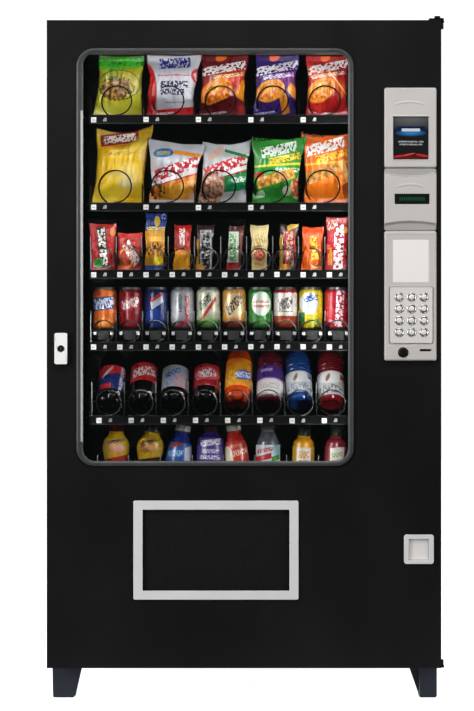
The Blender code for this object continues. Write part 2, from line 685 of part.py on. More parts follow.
def make_payment():
    """Three bezels of the payment column and what is set into them."""
    back = DOOR_FRONT - GAP
    sides = (PAY_LEFT, PAY_RIGHT)
    top = (PAY_LEFT, PAY_RIGHT, *PAY_TOP)
    upper = add(
        "payment_bezel_top", prism(rounded_rectangle(top, 0.006, 3), "Y", PAY_FRONT, back), WARM_GREY
    )
    cut(upper, prism(rectangle(PICTURE), "Y", PAY_FRONT - 0.01, PAY_FRONT + 0.004))

    stepped = [
        (back, PAY_MIDDLE_STEPS[0]),
        (back, PAY_MIDDLE_STEPS[1]),
        (PAY_STEP, PAY_MIDDLE_STEPS[1]),
        (PAY_STEP, PAY_MIDDLE[1]),
        (PAY_FRONT, PAY_MIDDLE[1] - 0.003),
        (PAY_FRONT, PAY_MIDDLE[0] + 0.003),
        (PAY_STEP, PAY_MIDDLE[0]),
        (PAY_STEP, PAY_MIDDLE_STEPS[0]),
    ]
    middle = add("payment_bezel_middle", prism(stepped, "X", *sides), WARM_GREY)
    cut(middle, prism(rectangle(DISPLAY), "Y", PAY_FRONT - 0.01, PAY_FRONT + 0.004))
    x0, x1, z0, z1 = DISPLAY
    lens = (x0 + GAP, x1 - GAP, z0 + GAP, z1 - GAP)
    add("display_lens", prism(rectangle(lens), "Y", PAY_FRONT + 0.001, PAY_FRONT + 0.0037), LENS)

    bounds = (PAY_LEFT, PAY_RIGHT, *PAY_LOWER)
    lower = add(
        "payment_bezel_lower", prism(rounded_rectangle(bounds, 0.006, 3), "Y", PAY_FRONT, back), WARM_GREY
    )
    cut(lower, prism(rectangle(BLANK), "Y", PAY_FRONT - 0.01, PAY_FRONT + 0.001))
    x0, x1, z0, z1 = KEYPAD
    pocket = (x0 + 0.006, x1 - 0.006, z0 + 0.006, z1 - 0.006)
    cut(lower, prism(rectangle(pocket), "Y", PAY_FRONT - 0.01, PAY_FRONT + 0.010))
    cut(lower, prism(circle(RETURN_CENTRE, RETURN_RADIUS + 0.0006), "Y", PAY_FRONT - 0.01, back + 0.01))
    cut(lower, prism(rectangle(COIN_SLOT), "Y", PAY_FRONT - 0.01, back + 0.01))

    plate = add(
        "keypad_plate",
        prism(rounded_rectangle(KEYPAD, 0.005, 3), "Y", KEYPAD_FRONT, PAY_FRONT - GAP),
        WARM_GREY,
    )
    number = 0
    for row in range(KEY_ROWS):
        z = KEY_TOP_ROW - row * KEY_ROW_PITCH
        for x in KEY_COLUMNS:
            number += 1
            hole = circle((x, z), KEY_HOLE_RADIUS, 20)
            cut(plate, prism(hole, "Y", KEYPAD_FRONT - 0.01, PAY_FRONT + 0.01))
            key_profile = [
                (0.0, -0.4738),
                (KEY_RADIUS * 0.70, -0.4742),
                (KEY_RADIUS * 0.95, -0.4736),
                (KEY_RADIUS, -0.4728),
                (KEY_RADIUS, -0.4625),
                (0.0, -0.4625),
            ]
            key = turned(key_profile, (x, z), "Y", 20)
            add(f"key_{number:02d}", key, CHROME, pivot=(x, -0.4742, z))
    button_profile = [
        (0.0, -0.4730),
        (RETURN_RADIUS * 0.85, -0.4735),
        (RETURN_RADIUS, -0.4725),
        (RETURN_RADIUS, -0.4620),
        (0.0, -0.4620),
    ]
    button = turned(button_profile, RETURN_CENTRE, "Y")
    pivot = (RETURN_CENTRE[0], -0.4735, RETURN_CENTRE[1])
    add("coin_return_button", button, FLAP_BLACK, pivot=pivot)

    behind = DOOR_FRONT + SHEET + GAP
    add("coin_changer", box((0.385, 0.495), (behind, -0.335), (0.560, 0.930)), LIGHT_GREY)
    add("bill_validator", box((0.395, 0.492), (-0.4570, -0.345), (1.450, 1.600)), BRACKET_BLACK)


def make_lock():
    """Pop-out stem, T handle and lock cylinder on one axis."""
    cx, cz = LOCK_CENTRE
    bore = LOCK_RADIUS + 0.0004
    front, back = HANDLE_FACES
    stem = frame(
        circle(LOCK_CENTRE, STEM_RADIUS), circle(LOCK_CENTRE, bore), "Y", back + GAP, -0.402
    )
    add("handle_stem", stem, CHROME, pivot=(cx, DOOR_FRONT, cz))
    plate = prism(rounded_rectangle(HANDLE, 0.004, 3), "Y", front, back)
    handle = add("t_handle", plate, LIGHT_GREY, pivot=(cx, DOOR_FRONT, cz))
    cut(handle, prism(circle(LOCK_CENTRE, bore), "Y", front - 0.01, DOOR_FRONT + 0.01))
    cylinder = [
        (0.0, front - 0.0005),
        (LOCK_RADIUS - 0.001, front - 0.0005),
        (LOCK_RADIUS, front + 0.0005),
        (LOCK_RADIUS, -0.415),
        (0.0, -0.415),
    ]
    lock = turned(cylinder, LOCK_CENTRE, "Y")
    add("lock_cylinder", lock, CHROME, pivot=(cx, DOOR_FRONT, cz))


make_cabinet()
make_front_left_leg()
make_front_right_leg()
make_rear_leg("rear_left_leg", -1)
make_rear_leg("rear_right_leg", 1)
make_liner()
make_tray_rails("tray_rails_left", LINER_INNER[0], 0.070)
make_tray_rails("tray_rails_right", LINER_INNER[1], -0.030)
make_refrigeration()
make_hinge_brackets()
for tray_number, (rail_mid, column_count, divider) in enumerate(TRAY_ROWS, start=1):
    make_tray(tray_number, rail_mid, column_count, divider)
make_coils()
make_door_panel()
make_window()
make_delivery()
make_coin_cup()
make_payment()
make_lock()
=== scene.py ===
"""Looks of the snack vending machine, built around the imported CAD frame."""
from math import cos, hypot, pi, radians, sin, sqrt, tan
from random import Random

import bmesh
import bpy
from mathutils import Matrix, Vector, noise


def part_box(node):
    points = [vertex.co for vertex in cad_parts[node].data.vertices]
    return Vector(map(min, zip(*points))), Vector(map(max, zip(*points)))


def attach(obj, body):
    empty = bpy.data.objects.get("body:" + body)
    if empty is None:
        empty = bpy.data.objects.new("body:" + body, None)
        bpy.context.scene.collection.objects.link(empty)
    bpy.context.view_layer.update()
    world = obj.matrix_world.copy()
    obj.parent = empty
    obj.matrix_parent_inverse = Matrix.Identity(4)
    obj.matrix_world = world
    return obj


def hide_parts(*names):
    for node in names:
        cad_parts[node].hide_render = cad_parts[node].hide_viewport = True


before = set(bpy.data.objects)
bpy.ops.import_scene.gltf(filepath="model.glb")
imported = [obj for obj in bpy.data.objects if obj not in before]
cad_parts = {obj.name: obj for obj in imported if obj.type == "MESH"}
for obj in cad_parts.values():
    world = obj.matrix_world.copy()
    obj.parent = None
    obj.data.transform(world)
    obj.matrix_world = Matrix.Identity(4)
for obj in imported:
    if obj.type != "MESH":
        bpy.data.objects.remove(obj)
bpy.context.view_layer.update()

# ---- Places read from the frame -----------------------------------------------------------
WRAP_LOW, WRAP_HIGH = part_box("cabinet_wrap")
TRIM_LOW, TRIM_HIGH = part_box("window_trim")
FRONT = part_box("door_panel")[0][1]
CENTRE_X = (WRAP_LOW[0] + WRAP_HIGH[0]) / 2

# ---- Camera -------------------------------------------------------------------------------
CAMERA_DISTANCE = 6.0
CAMERA_SIDE = -0.0187
CAMERA_HEIGHT = 0.9336
CAMERA_VIEW_HEIGHT = 1.8977
SENSOR = 36.0


# ---- Shader graph helper ------------------------------------------------------------------
def rgb(red, green, blue):
    """Linear colour from display values 0 to 255."""
    linear = []
    for value in (red, green, blue):
        share = value / 255
        linear.append(share / 12.92 if share <= 0.04045 else ((share + 0.055) / 1.055) ** 2.4)
    return tuple(linear)


class Graph:
    """A Principled material with short calls for the nodes that these looks share."""

    def __init__(self, name):
        self.material = bpy.data.materials.new(name)
        self.material.use_nodes = True
        self.tree = self.material.node_tree
        self.shader = self.tree.nodes["Principled BSDF"]

    def node(self, kind, **settings):
        made = self.tree.nodes.new(kind)
        for key, value in settings.items():
            setattr(made, key, value)
        return made

    def link(self, source, target):
        self.tree.links.new(source, target)

    def set(self, **values):
        """Constant values on the shader's own sockets, underscores standing for spaces."""
        for key, value in values.items():
            self.shader.inputs[key.replace("_", " ")].default_value = value

    def place(self):
        """Object coordinates."""
        return self.node("ShaderNodeTexCoord").outputs["Object"]

    def noise(self, scale, detail=3.0, stretch=None, rough=0.5):
        made = self.node("ShaderNodeTexNoise")
        made.inputs["Scale"].default_value = scale
        made.inputs["Detail"].default_value = detail
        made.inputs["Roughness"].default_value = rough
        source = self.place()
        if stretch:
            mapping = self.node("ShaderNodeMapping")
            mapping.inputs["Scale"].default_value = stretch
            self.link(source, mapping.inputs["Vector"])
            source = mapping.outputs["Vector"]
        self.link(source, made.inputs["Vector"])
        return made.outputs["Fac"]

    def spread(self, source, low, high, out_low, out_high):
        """Map a range onto another, clamped."""
        made = self.node("ShaderNodeMapRange")
        made.inputs["From Min"].default_value = low
        made.inputs["From Max"].default_value = high
        made.inputs["To Min"].default_value = out_low
        made.inputs["To Max"].default_value = out_high
        self.link(source, made.inputs["Value"])
        return made.outputs["Result"]

    def math(self, operation, first, second):
        made = self.node("ShaderNodeMath", operation=operation)
        for socket, value in zip(made.inputs, (first, second)):
            if isinstance(value, (int, float)):
                socket.default_value = value
            else:
                self.link(value, socket)
        return made.outputs[0]

    def blend(self, factor, first, second):
        """Mix two colours, each a tuple or a socket."""
        made = self.node("ShaderNodeMix", data_type="RGBA")
        self.link(factor, made.inputs["Factor"])
        for socket, value in ((made.inputs[6], first), (made.inputs[7], second)):
            if isinstance(value, tuple):
                socket.default_value = (*value, 1.0)
            else:
                self.link(value, socket)
        return made.outputs[2]

    def bumps(self, *layers):
        """Bump from (height socket, strength, distance in metres) layers."""
        normal = None
        for height, strength, distance in layers:
            made = self.node("ShaderNodeBump")
            made.inputs["Strength"].default_value = strength
            made.inputs["Distance"].default_value = distance
            self.link(height, made.inputs["Height"])
            if normal is not None:
                self.link(normal, made.inputs["Normal"])
            normal = made.outputs["Normal"]
        self.link(normal, self.shader.inputs["Normal"])

    def colour(self, source):
        self.link(source, self.shader.inputs["Base Color"])

    def mottle(self, source, low, high, first, second):
        """Base colour: two colours mixed between two levels of a pattern."""
        self.colour(self.blend(self.spread(source, low, high, 0.0, 1.0), first, second))

    def gloss(self, source, low, high, first, second):
        """Roughness: two values mixed between two levels of a pattern."""
        self.link(self.spread(source, low, high, first, second), self.shader.inputs["Roughness"])


GRAIN_DEPTH = 0.00006


def surface(name, colour, rough, metal=0.0, shade=0.12, grain=900.0, patch=9.0, rough_swing=0.08,
            stretch=None, **values):
    """A moulded or painted surface: slight colour patches, uneven gloss and a fine grain."""
    graph = Graph(name)
    darker = tuple(channel * (1 - shade) for channel in colour)
    lighter = tuple(min(1.0, channel * (1 + shade)) for channel in colour)
    smoothest = max(0.02, rough - rough_swing)
    graph.mottle(graph.noise(patch, 4.0, stretch), 0.3, 0.7, darker, lighter)
    graph.gloss(graph.noise(patch * 5, 3.0, stretch), 0.3, 0.7, smoothest, rough + rough_swing)
    graph.bumps((graph.noise(grain, 2.0, stretch), 0.35, GRAIN_DEPTH))
    graph.set(Metallic=metal, **values)
    return graph.material


# ---- Materials of the machine -------------------------------------------------------------
def make_powder_coat(name, colour, rough, sheen=0.17):
    """Satin powder coat with orange peel and faint handling marks."""
    graph = Graph(name)
    worn = tuple(channel * 1.25 + 0.0015 for channel in colour)
    graph.mottle(graph.noise(2.2, 6.0, None, 0.6), 0.42, 0.72, colour, worn)
    graph.gloss(graph.noise(6.0, 5.0, (1.0, 1.0, 0.35)), 0.3, 0.7, rough - 0.05, rough + 0.07)
    peel = graph.noise(420.0, 2.0)
    speck = graph.noise(1500.0, 1.0)
    graph.bumps((peel, 0.25, 0.00025), (speck, 0.2, 0.00008))
    graph.set(Specular_IOR_Level=sheen)
    return graph.material


def make_galvanised(name):
    """Zinc spangle on sheet steel."""
    graph = Graph(name)
    cells = graph.node("ShaderNodeTexVoronoi")
    cells.inputs["Scale"].default_value = 55.0
    graph.link(graph.place(), cells.inputs["Vector"])
    shade = graph.spread(cells.outputs["Color"], 0.0, 1.0, 0.0, 1.0)
    graph.colour(graph.blend(shade, (0.36, 0.37, 0.38), (0.52, 0.53, 0.55)))
    graph.gloss(shade, 0.0, 1.0, 0.32, 0.5)
    graph.bumps((graph.noise(300.0, 2.0), 0.15, 0.0001))
    graph.set(Metallic=0.85)
    return graph.material


def make_flap_texture():
    """Coarse matt leather-grain moulding of the delivery flap."""
    graph = Graph("flap_grain")
    cells = graph.node("ShaderNodeTexVoronoi", feature="DISTANCE_TO_EDGE")
    cells.inputs["Scale"].default_value = 330.0
    graph.link(graph.place(), cells.inputs["Vector"])
    height = graph.spread(cells.outputs["Distance"], 0.0, 0.25, 0.0, 1.0)
    tone = graph.noise(260.0, 3.0)
    graph.mottle(tone, 0.35, 0.65, rgb(9, 9, 10), rgb(19, 19, 20))
    graph.gloss(height, 0.0, 1.0, 0.75, 0.5)
    graph.bumps((height, 0.6, 0.0004), (tone, 0.5, 0.0006))
    graph.set(Specular_IOR_Level=0.17)
    return graph.material


def make_glass():
    """Clear pane: see-through with a soft surface reflection."""
    graph = Graph("clear_glass")
    graph.gloss(graph.noise(5.0, 5.0), 0.35, 0.75, 0.0, 0.02)
    graph.set(Base_Color=(0.02, 0.025, 0.025, 1.0), Alpha=0.05, IOR=1.5)
    return graph.material


DISPLAY_BLOCKS = 16.0


def make_display():
    """Vacuum fluorescent display: dark glass with one row of dim green segment blocks."""
    graph = Graph("display_glass")
    coordinates = graph.node("ShaderNodeUVMap", uv_map="print").outputs["UV"]
    parts = graph.node("ShaderNodeSeparateXYZ")
    graph.link(coordinates, parts.inputs["Vector"])
    cell = graph.math("FRACT", graph.math("MULTIPLY", parts.outputs["X"], DISPLAY_BLOCKS), 0.0)
    lit = graph.spread(graph.noise(700.0, 1.0), 0.4, 0.6, 0.2, 1.0)
    for source, middle, reach in ((cell, 0.5, 0.28), (parts.outputs["Y"], 0.52, 0.17),
                                  (parts.outputs["X"], 0.5, 0.38)):
        near = graph.math("COMPARE", source, middle)
        near.node.inputs[2].default_value = reach
        lit = graph.math("MULTIPLY", lit, near)
    mix = graph.blend(lit, rgb(8, 14, 12), rgb(20, 90, 55))
    graph.colour(mix)
    graph.link(mix, graph.shader.inputs["Emission Color"])
    graph.set(Roughness=0.12, Emission_Strength=0.35, Coat_Weight=0.6, Coat_Roughness=0.05)
    return graph.material


BLACK_COAT = make_powder_coat("black_powder", rgb(18, 18, 19), 0.44)
DARK_PAINT = make_powder_coat("dark_paint", rgb(34, 38, 46), 0.42)
BLACK_PAINT = make_powder_coat("black_paint", rgb(9, 9, 9), 0.6, 0.04)
GALVANISED = make_galvanised("zinc_sheet")
FLAP = make_flap_texture()
PANE = make_glass()
DISPLAY = make_display()
STRIP = surface("trim_strip", rgb(73, 74, 75), 0.38, 0.2, grain=500.0)
CORNER = surface("trim_corner", rgb(58, 60, 62), 0.4)
# Pale colour laid along the trim's left inner edge: a painted highlight.
TRIM_PAINTED_HIGHLIGHT = surface("trim_painted_highlight", rgb(196, 197, 198), 0.4, 0.2, shade=0.03)
WARM = surface("warm_grey_shell", rgb(203, 198, 194), 0.42, shade=0.025, grain=1400.0, IOR=1.46)
WARM_DARK = surface("warm_grey_keypad", rgb(226, 220, 216), 0.36, shade=0.03, grain=1400.0)
PALE = surface("pale_plate", rgb(246, 242, 240), 0.5, shade=0.02)
LIGHT = surface("light_grey_shell", rgb(226, 226, 226), 0.4, shade=0.03, grain=1200.0)
LIGHT_INNER = surface("light_grey_recess", rgb(206, 206, 206), 0.5, shade=0.04)
KEY_RING = surface("key_ring", (0.78, 0.77, 0.76), 0.30, 1.0, shade=0.03, rough_swing=0.05)
CHROME = surface("key_chrome", (0.80, 0.79, 0.78), 0.18, 1.0, shade=0.03, rough_swing=0.05)
# Near-white diffuse colour on the metal key domes: a painted reflection.
KEY_DOME_PAINTED_SHEEN = surface("key_dome_painted_sheen", rgb(244, 241, 238), 0.3, 0.1, shade=0.02)
# Dark colour in the key grooves: painted shade.
KEY_GROOVE_PAINTED_SHADE = surface("key_groove_painted_shade", rgb(44, 42, 41), 0.5)
DARK_PLASTIC = surface("dark_plastic", rgb(12, 12, 12), 0.4, Specular_IOR_Level=0.25)
LINER = surface("liner_skin", rgb(16, 16, 17), 0.55)
RUBBER = surface("seal_rubber", rgb(20, 20, 20), 0.75, shade=0.2)
ALUMINIUM = surface("fin_stock", (0.6, 0.6, 0.62), 0.35, 1.0, stretch=(1.0, 1.0, 0.1))
DIFFUSER = surface("lamp_cover", (0.85, 0.85, 0.82), 0.4, Emission_Color=(1, 0.98, 0.94, 1),
                   Emission_Strength=1.5)
WIRE = surface("black_wire", rgb(6, 6, 6), 0.6, Specular_IOR_Level=0.08)
LOW_WIRE = surface("dark_wire", rgb(74, 74, 75), 0.28, 0.7)
BRIGHT_WIRE = surface("zinc_wire", rgb(150, 152, 154), 0.35, 0.7)
LABEL = surface("label_card", rgb(212, 212, 210), 0.6, shade=0.05)
TAG = surface("tag_card", rgb(158, 159, 159), 0.6, shade=0.1, patch=300.0)
RISER = surface("riser_plastic", rgb(50, 51, 51), 0.6, Specular_IOR_Level=0.2)
RISER_WHITE = surface("riser_ends", rgb(222, 222, 220), 0.5)
MOTOR = surface("motor_case", rgb(196, 194, 186), 0.5)
CAN_METAL = surface("can_aluminium", (0.46, 0.46, 0.48), 0.36, 1.0, shade=0.05)
# Darker warm grey laid on the display cover's curved bands: painted shade.
WARM_PAINTED_SHADE = surface("warm_grey_painted_shade", rgb(170, 167, 165), 0.45, shade=0.03, grain=1400.0)
HANDLE_PAINT = surface("handle_paint", rgb(253, 252, 249), 0.35, shade=0.03)
COIN_FLAP_PAINT = surface("coin_flap_paint", rgb(238, 234, 232), 0.4, shade=0.03)
INNER_SKIN = surface("inner_skin", rgb(34, 34, 36), 0.5)
CARD_INK = surface("card_ink", rgb(120, 120, 122), 0.6)
RAIL_EDGE = surface("rail_edge", rgb(20, 20, 20), 0.45)

CAD_FINISH = (
    (BLACK_COAT, "door_panel cabinet_wrap"),
    (GALVANISED, "rear_panel refrigeration_deck"),
    (DARK_PAINT, "base_pan front_left_leg front_right_leg rear_left_leg rear_right_leg"),
    (BLACK_PAINT, "tray_rails_left tray_rails_right upper_hinge_bracket lower_hinge_bracket compressor"),
    (BLACK_PAINT, "delivery_bin tray_1 tray_2 tray_3 tray_4 tray_5 tray_6"),
    (DARK_PLASTIC, "condenser_fan bill_validator coin_return_button"),
    (CHROME, "handle_stem lock_cylinder"),
    (LINER, "insulated_liner"),
    (ALUMINIUM, "condenser"),
    (PANE, "window_glass"),
    (RUBBER, "door_gasket"),
    (DIFFUSER, "light_bar"),
    (LIGHT_INNER, "coin_changer"),
    (FLAP, "delivery_flap"),
    (WARM_DARK, "keypad_plate"),
)
for finish, node_names in CAD_FINISH:
    for node_name in node_names.split():
        for material_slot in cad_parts[node_name].material_slots:
            material_slot.material = finish


# ---- Mesh helpers -------------------------------------------------------------------------
def piece(name, mesh, materials, body, replaces=(), smooth=30, bevel=0.0, at=None, turn=None):
    """Turn a bmesh into a piece of the model that rides on a body."""
    bmesh.ops.recalc_face_normals(mesh, faces=mesh.faces)
    data = bpy.data.meshes.new(name)
    mesh.to_mesh(data)
    mesh.free()
    if not isinstance(materials, (list, tuple)):
        materials = [materials]
    for material in materials:
        data.materials.append(material)
    data.shade_smooth()
    data.set_sharp_from_angle(angle=radians(smooth))
    made = bpy.data.objects.new(name, data)
    bpy.context.scene.collection.objects.link(made)
    if at is not None:
        made.location = at
    if turn is not None:
        made.rotation_euler = turn
    if bevel:
        rounding = made.modifiers.new("rounding", "BEVEL")
        rounding.width = bevel
        rounding.segments = 3
        rounding.limit_method = "ANGLE"
        rounding.angle_limit = radians(40)
        rounding.harden_normals = False
    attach(made, body)
    if replaces:
        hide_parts(*replaces)
    return made


def rounded(bounds, radius, steps=8):
    """Outline of a rectangle (low x, high x, low z, high z) with round corners."""
    x0, x1, z0, z1 = bounds
    corners = ((x1 - radius, z0 + radius, -pi / 2), (x1 - radius, z1 - radius, 0.0),
               (x0 + radius, z1 - radius, pi / 2), (x0 + radius, z0 + radius, pi))
    outline = []
    for cx, cz, start in corners:
        for step in range(steps + 1):
            angle = start + step / steps * pi / 2
            outline.append((cx + radius * cos(angle), cz + radius * sin(angle)))
    return outline


def face_of(low, high):
    """A box's front: low x, high x, low z, high z."""
    return low[0], high[0], low[2], high[2]


def grown(bounds, gap):
    """A rectangle with a gap added all round, or taken off where the gap is negative."""
    return bounds[0] - gap, bounds[1] + gap, bounds[2] - gap, bounds[3] + gap


def centre_of(name):
    """Middle of a CAD node's front, in x and z."""
    low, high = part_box(name)
    return (low[0] + high[0]) / 2, (low[2] + high[2]) / 2


def ring_points(centre, radius, sides=32):
    """Points round a circle."""
    return [(centre[0] + radius * cos(2 * pi * step / sides),
             centre[1] + radius * sin(2 * pi * step / sides)) for step in range(sides)]


def add_prism(mesh, outline, near, far, material=0):
    """An outline in x and z extruded along y."""
    front = [mesh.verts.new((x, near, z)) for x, z in outline]
    back = [mesh.verts.new((x, far, z)) for x, z in outline]
    faces = [mesh.faces.new(front), mesh.faces.new(list(reversed(back)))]
    for index in range(len(outline)):
        after = (index + 1) % len(outline)
        faces.append(mesh.faces.new((front[index], back[index], back[after], front[after])))
    for face in faces:
        face.material_index = material
    return mesh


def add_box(mesh, low, high, material=0):
    outline = [(low[0], low[2]), (high[0], low[2]), (high[0], high[2]), (low[0], high[2])]
    return add_prism(mesh, outline, low[1], high[1], material)


def add_loops(mesh, loops, closed=True, material=0):
    """Skin a list of equal loops of points; closed joins the last loop to the first.

    material is one index, or a list with an index for each band between two loops.
    """
    rings = [[mesh.verts.new(point) for point in loop] for loop in loops]
    pairs = list(zip(rings, rings[1:]))
    if closed:
        pairs.append((rings[-1], rings[0]))
    count = len(rings[0])
    for band, (first, second) in enumerate(pairs):
        look = material[band] if isinstance(material, list) else material
        for index in range(count):
            after = (index + 1) % count
            face = mesh.faces.new((first[index], first[after], second[after], second[index]))
            face.material_index = look
    return rings


def close_ends(mesh, rings, first_look=0, last_look=0):
    """Flat faces over the first and the last ring, each with its own material index."""
    mesh.faces.new(list(reversed(rings[0]))).material_index = first_look
    mesh.faces.new(rings[-1]).material_index = last_look


def add_ring_plate(mesh, outer, inner, near, far):
    """A plate with a hole: outlines with equal numbers of points."""
    loops = [[(x, y, z) for x, z in outline]
             for outline, y in ((outer, near), (outer, far), (inner, far), (inner, near))]
    add_loops(mesh, loops)
    return mesh


def add_tube(mesh, points, radius, sides=8):
    """A round wire with capped ends."""
    loops = []
    up = Vector((0.0, 0.0, 1.0))
    last = len(points) - 1
    for index, point in enumerate(points):
        tangent = (points[min(index + 1, last)] - points[max(index - 1, 0)]).normalized()
        across = tangent.cross(up)
        if across.length < 0.1:
            across = tangent.cross(Vector((0.0, 1.0, 0.0)))
        across.normalize()
        up = across.cross(tangent).normalized()
        loop = []
        for step in range(sides):
            angle = 2 * pi * step / sides
            loop.append(point + across * (radius * cos(angle)) + up * (radius * sin(angle)))
        loops.append(loop)
    close_ends(mesh, add_loops(mesh, loops, False))
    return mesh


def add_turned(mesh, profile, centre, sides=32, axis="Y"):
    """A turned solid: profile of (radius, distance along the axis, material index)."""
    loops = []
    for radius, along, _ in profile:
        loop = []
        for a, b in ring_points((0.0, 0.0), max(radius, 0.00001), sides):
            if axis == "Y":
                loop.append((centre[0] + a, along, centre[1] + b))
            else:
                loop.append((centre[0] + a, centre[1] + b, along))
        loops.append(loop)
    looks = [look for _, _, look in profile]
    rings = add_loops(mesh, loops, False, looks[1:])
    close_ends(mesh, rings, looks[0], looks[-1])
    return mesh


def smooth_step(low, high, value):
    """0 below low, 1 above high, and an even curve between them."""
    share = min(1.0, max(0.0, (value - low) / (high - low)))
    return share * share * (3 - 2 * share)


def round_corner(x, z, bounds, radius):
    """Draw a grid point of a rectangle in, so that the rectangle's corners become round."""
    x0, x1, z0, z1 = bounds
    middle_x = min(max(x, x0 + radius), x1 - radius)
    middle_z = min(max(z, z0 + radius), z1 - radius)
    dx, dz = x - middle_x, z - middle_z
    if dx == 0 or dz == 0:
        return x, z
    scale = max(abs(dx), abs(dz)) / hypot(dx, dz)
    return middle_x + dx * scale, middle_z + dz * scale


COVER_CORNER = 0.006


def relief(name, bounds, back, height, material, body, replaces, cell=0.0016, pick=None,
           opening=None):
    """A moulded cover: a grid whose front stands height(x, z) out of its back plane.

    Where opening(x, z) is true the cover has a hole right through it.
    """
    x0, x1, z0, z1 = bounds
    columns = max(2, round((x1 - x0) / cell))
    rows = max(2, round((z1 - z0) / cell))
    mesh = bmesh.new()
    front = []
    rear = []
    for row in range(rows + 1):
        z = z0 + (z1 - z0) * row / rows
        front_line = []
        rear_line = []
        for column in range(columns + 1):
            x = x0 + (x1 - x0) * column / columns
            px, pz = round_corner(x, z, bounds, COVER_CORNER)
            front_line.append(mesh.verts.new((px, back - height(x, z), pz)))
            on_edge = row in (0, rows) or column in (0, columns)
            rear_line.append(mesh.verts.new((px, back, pz)) if on_edge or opening else None)
        front.append(front_line)
        rear.append(rear_line)
    holes = set()
    for row in range(rows):
        for column in range(columns):
            middle = (x0 + (x1 - x0) * (column + 0.5) / columns, z0 + (z1 - z0) * (row + 0.5) / rows)
            if opening and opening(*middle):
                holes.add((row, column))
                continue
            corners = ((row, column), (row, column + 1), (row + 1, column + 1), (row + 1, column))
            face = mesh.faces.new([front[r][c] for r, c in corners])
            if pick:
                face.material_index = pick(*middle)
            if opening:
                mesh.faces.new([rear[r][c] for r, c in reversed(corners)])
    for row, column in sorted(holes):
        sides = (((row, column), (row, column + 1), (row - 1, column)),
                 ((row, column + 1), (row + 1, column + 1), (row, column + 1)),
                 ((row + 1, column + 1), (row + 1, column), (row + 1, column)),
                 ((row + 1, column), (row, column), (row, column - 1)))
        for (r0, c0), (r1, c1), beyond in sides:
            if beyond not in holes:
                mesh.faces.new((front[r1][c1], front[r0][c0], rear[r0][c0], rear[r1][c1]))
    edge = [(0, column) for column in range(columns)]
    edge += [(row, columns) for row in range(rows)]
    edge += [(rows, column) for column in range(columns, 0, -1)]
    edge += [(row, 0) for row in range(rows, 0, -1)]
    count = len(edge)
    for index in range(count):
        (r0, c0), (r1, c1) = edge[index], edge[(index + 1) % count]
        mesh.faces.new((front[r0][c0], rear[r0][c0], rear[r1][c1], front[r1][c1]))
    if not opening:
        mesh.faces.new([rear[r][c] for r, c in edge])
    return piece(name, mesh, material, body, replaces, smooth=60)


def edge_height(x, z, bounds, radius, depth):
    """Height of a block with rounded front edges, falling to nothing at its outline."""
    x0, x1, z0, z1 = bounds
    gap = min(x - x0, x1 - x, z - z0, z1 - z)
    if gap >= radius:
        return depth
    reach = radius - max(gap, 0.0)
    return depth - radius + sqrt(max(0.0, radius * radius - reach * reach))


def inside(x, z, bounds, soft=0.0008):
    """1 inside a rectangle, 0 outside, with a soft edge."""
    x0, x1, z0, z1 = bounds
    gap = min(x - x0, x1 - x, z - z0, z1 - z)
    return smooth_step(-soft, soft, gap)


# ---- Door furniture -----------------------------------------------------------------------
TRIM_WIDTHS = (0.0179, 0.0149, 0.0133, 0.0120)
TRIM_CORNER_RADIUS = 0.048
TRIM_INNER_RADIUS = 0.033
TRIM_CORNER_REACH = 0.064
TRIM_PROFILE = ((0.0, 0.0), (0.0, 0.55), (0.06, 0.82), (0.2, 0.98), (0.42, 1.0), (0.66, 0.93),
                (0.86, 0.74), (0.97, 0.5), (1.0, 0.3), (1.0, 0.0))


def trim_station(outer, inner, proud):
    """The trim's cross-section between an outer and an inner outline point."""
    loop = []
    for share, height in TRIM_PROFILE:
        x = outer[0] + (inner[0] - outer[0]) * share
        z = outer[1] + (inner[1] - outer[1]) * share
        loop.append((x, TRIM_HIGH[1] - proud * height, z))
    return loop


def add_trim_run(mesh, stations, proud, material):
    loops = [trim_station(outer, inner, proud) for outer, inner in stations]
    close_ends(mesh, add_loops(mesh, loops, False, material), material, material)


def make_trim():
    """Window trim: four strips between four corner mouldings, and a pale strip inside the left edge that is
    a painted highlight.
    """
    left, right, bottom, top = TRIM_WIDTHS
    x0, x1, z0, z1 = TRIM_LOW[0], TRIM_HIGH[0], TRIM_LOW[2], TRIM_HIGH[2]
    inner_bounds = (x0 + left, x1 - right, z0 + bottom, z1 - top)
    steps = 10
    outer = rounded((x0, x1, z0, z1), TRIM_CORNER_RADIUS, steps)
    inner = rounded(inner_bounds, TRIM_INNER_RADIUS, steps)
    reach = TRIM_CORNER_REACH
    proud = TRIM_HIGH[1] - TRIM_LOW[1]
    ends = (
        (((x1 - reach, z0), (x1 - reach, z0 + bottom)), ((x1, z0 + reach), (x1 - right, z0 + reach))),
        (((x1, z1 - reach), (x1 - right, z1 - reach)), ((x1 - reach, z1), (x1 - reach, z1 - top))),
        (((x0 + reach, z1), (x0 + reach, z1 - top)), ((x0, z1 - reach), (x0 + left, z1 - reach))),
        (((x0, z0 + reach), (x0 + left, z0 + reach)), ((x0 + reach, z0), (x0 + reach, z0 + bottom))),
    )
    mesh = bmesh.new()
    for corner in range(4):
        first = corner * (steps + 1)
        arc = [(outer[first + step], inner[first + step]) for step in range(steps + 1)]
        add_trim_run(mesh, [ends[corner][0]] + arc + [ends[corner][1]], proud + 0.0006, 1)
        following = (corner + 1) % 4
        add_trim_run(mesh, [ends[corner][1], ends[following][0]], proud, 0)
    piece("window_trim_moulding", mesh, [STRIP, CORNER], "door", ["window_trim"], 50)
    # A pale strip inside the left trim edge: a painted highlight on the trim's inner slope.
    mesh = bmesh.new()
    line_top = z1 - 0.166
    low = (x0 + left - 0.0066, TRIM_HIGH[1] - 0.0058, z0 + reach + 0.001)
    high = (x0 + left - 0.0004, TRIM_HIGH[1] - 0.001, line_top)
    add_box(mesh, low, high)
    piece("window_painted_highlight_line", mesh, TRIM_PAINTED_HIGHLIGHT, "door", bevel=0.0015)


BUMP_EDGE = 0.0012


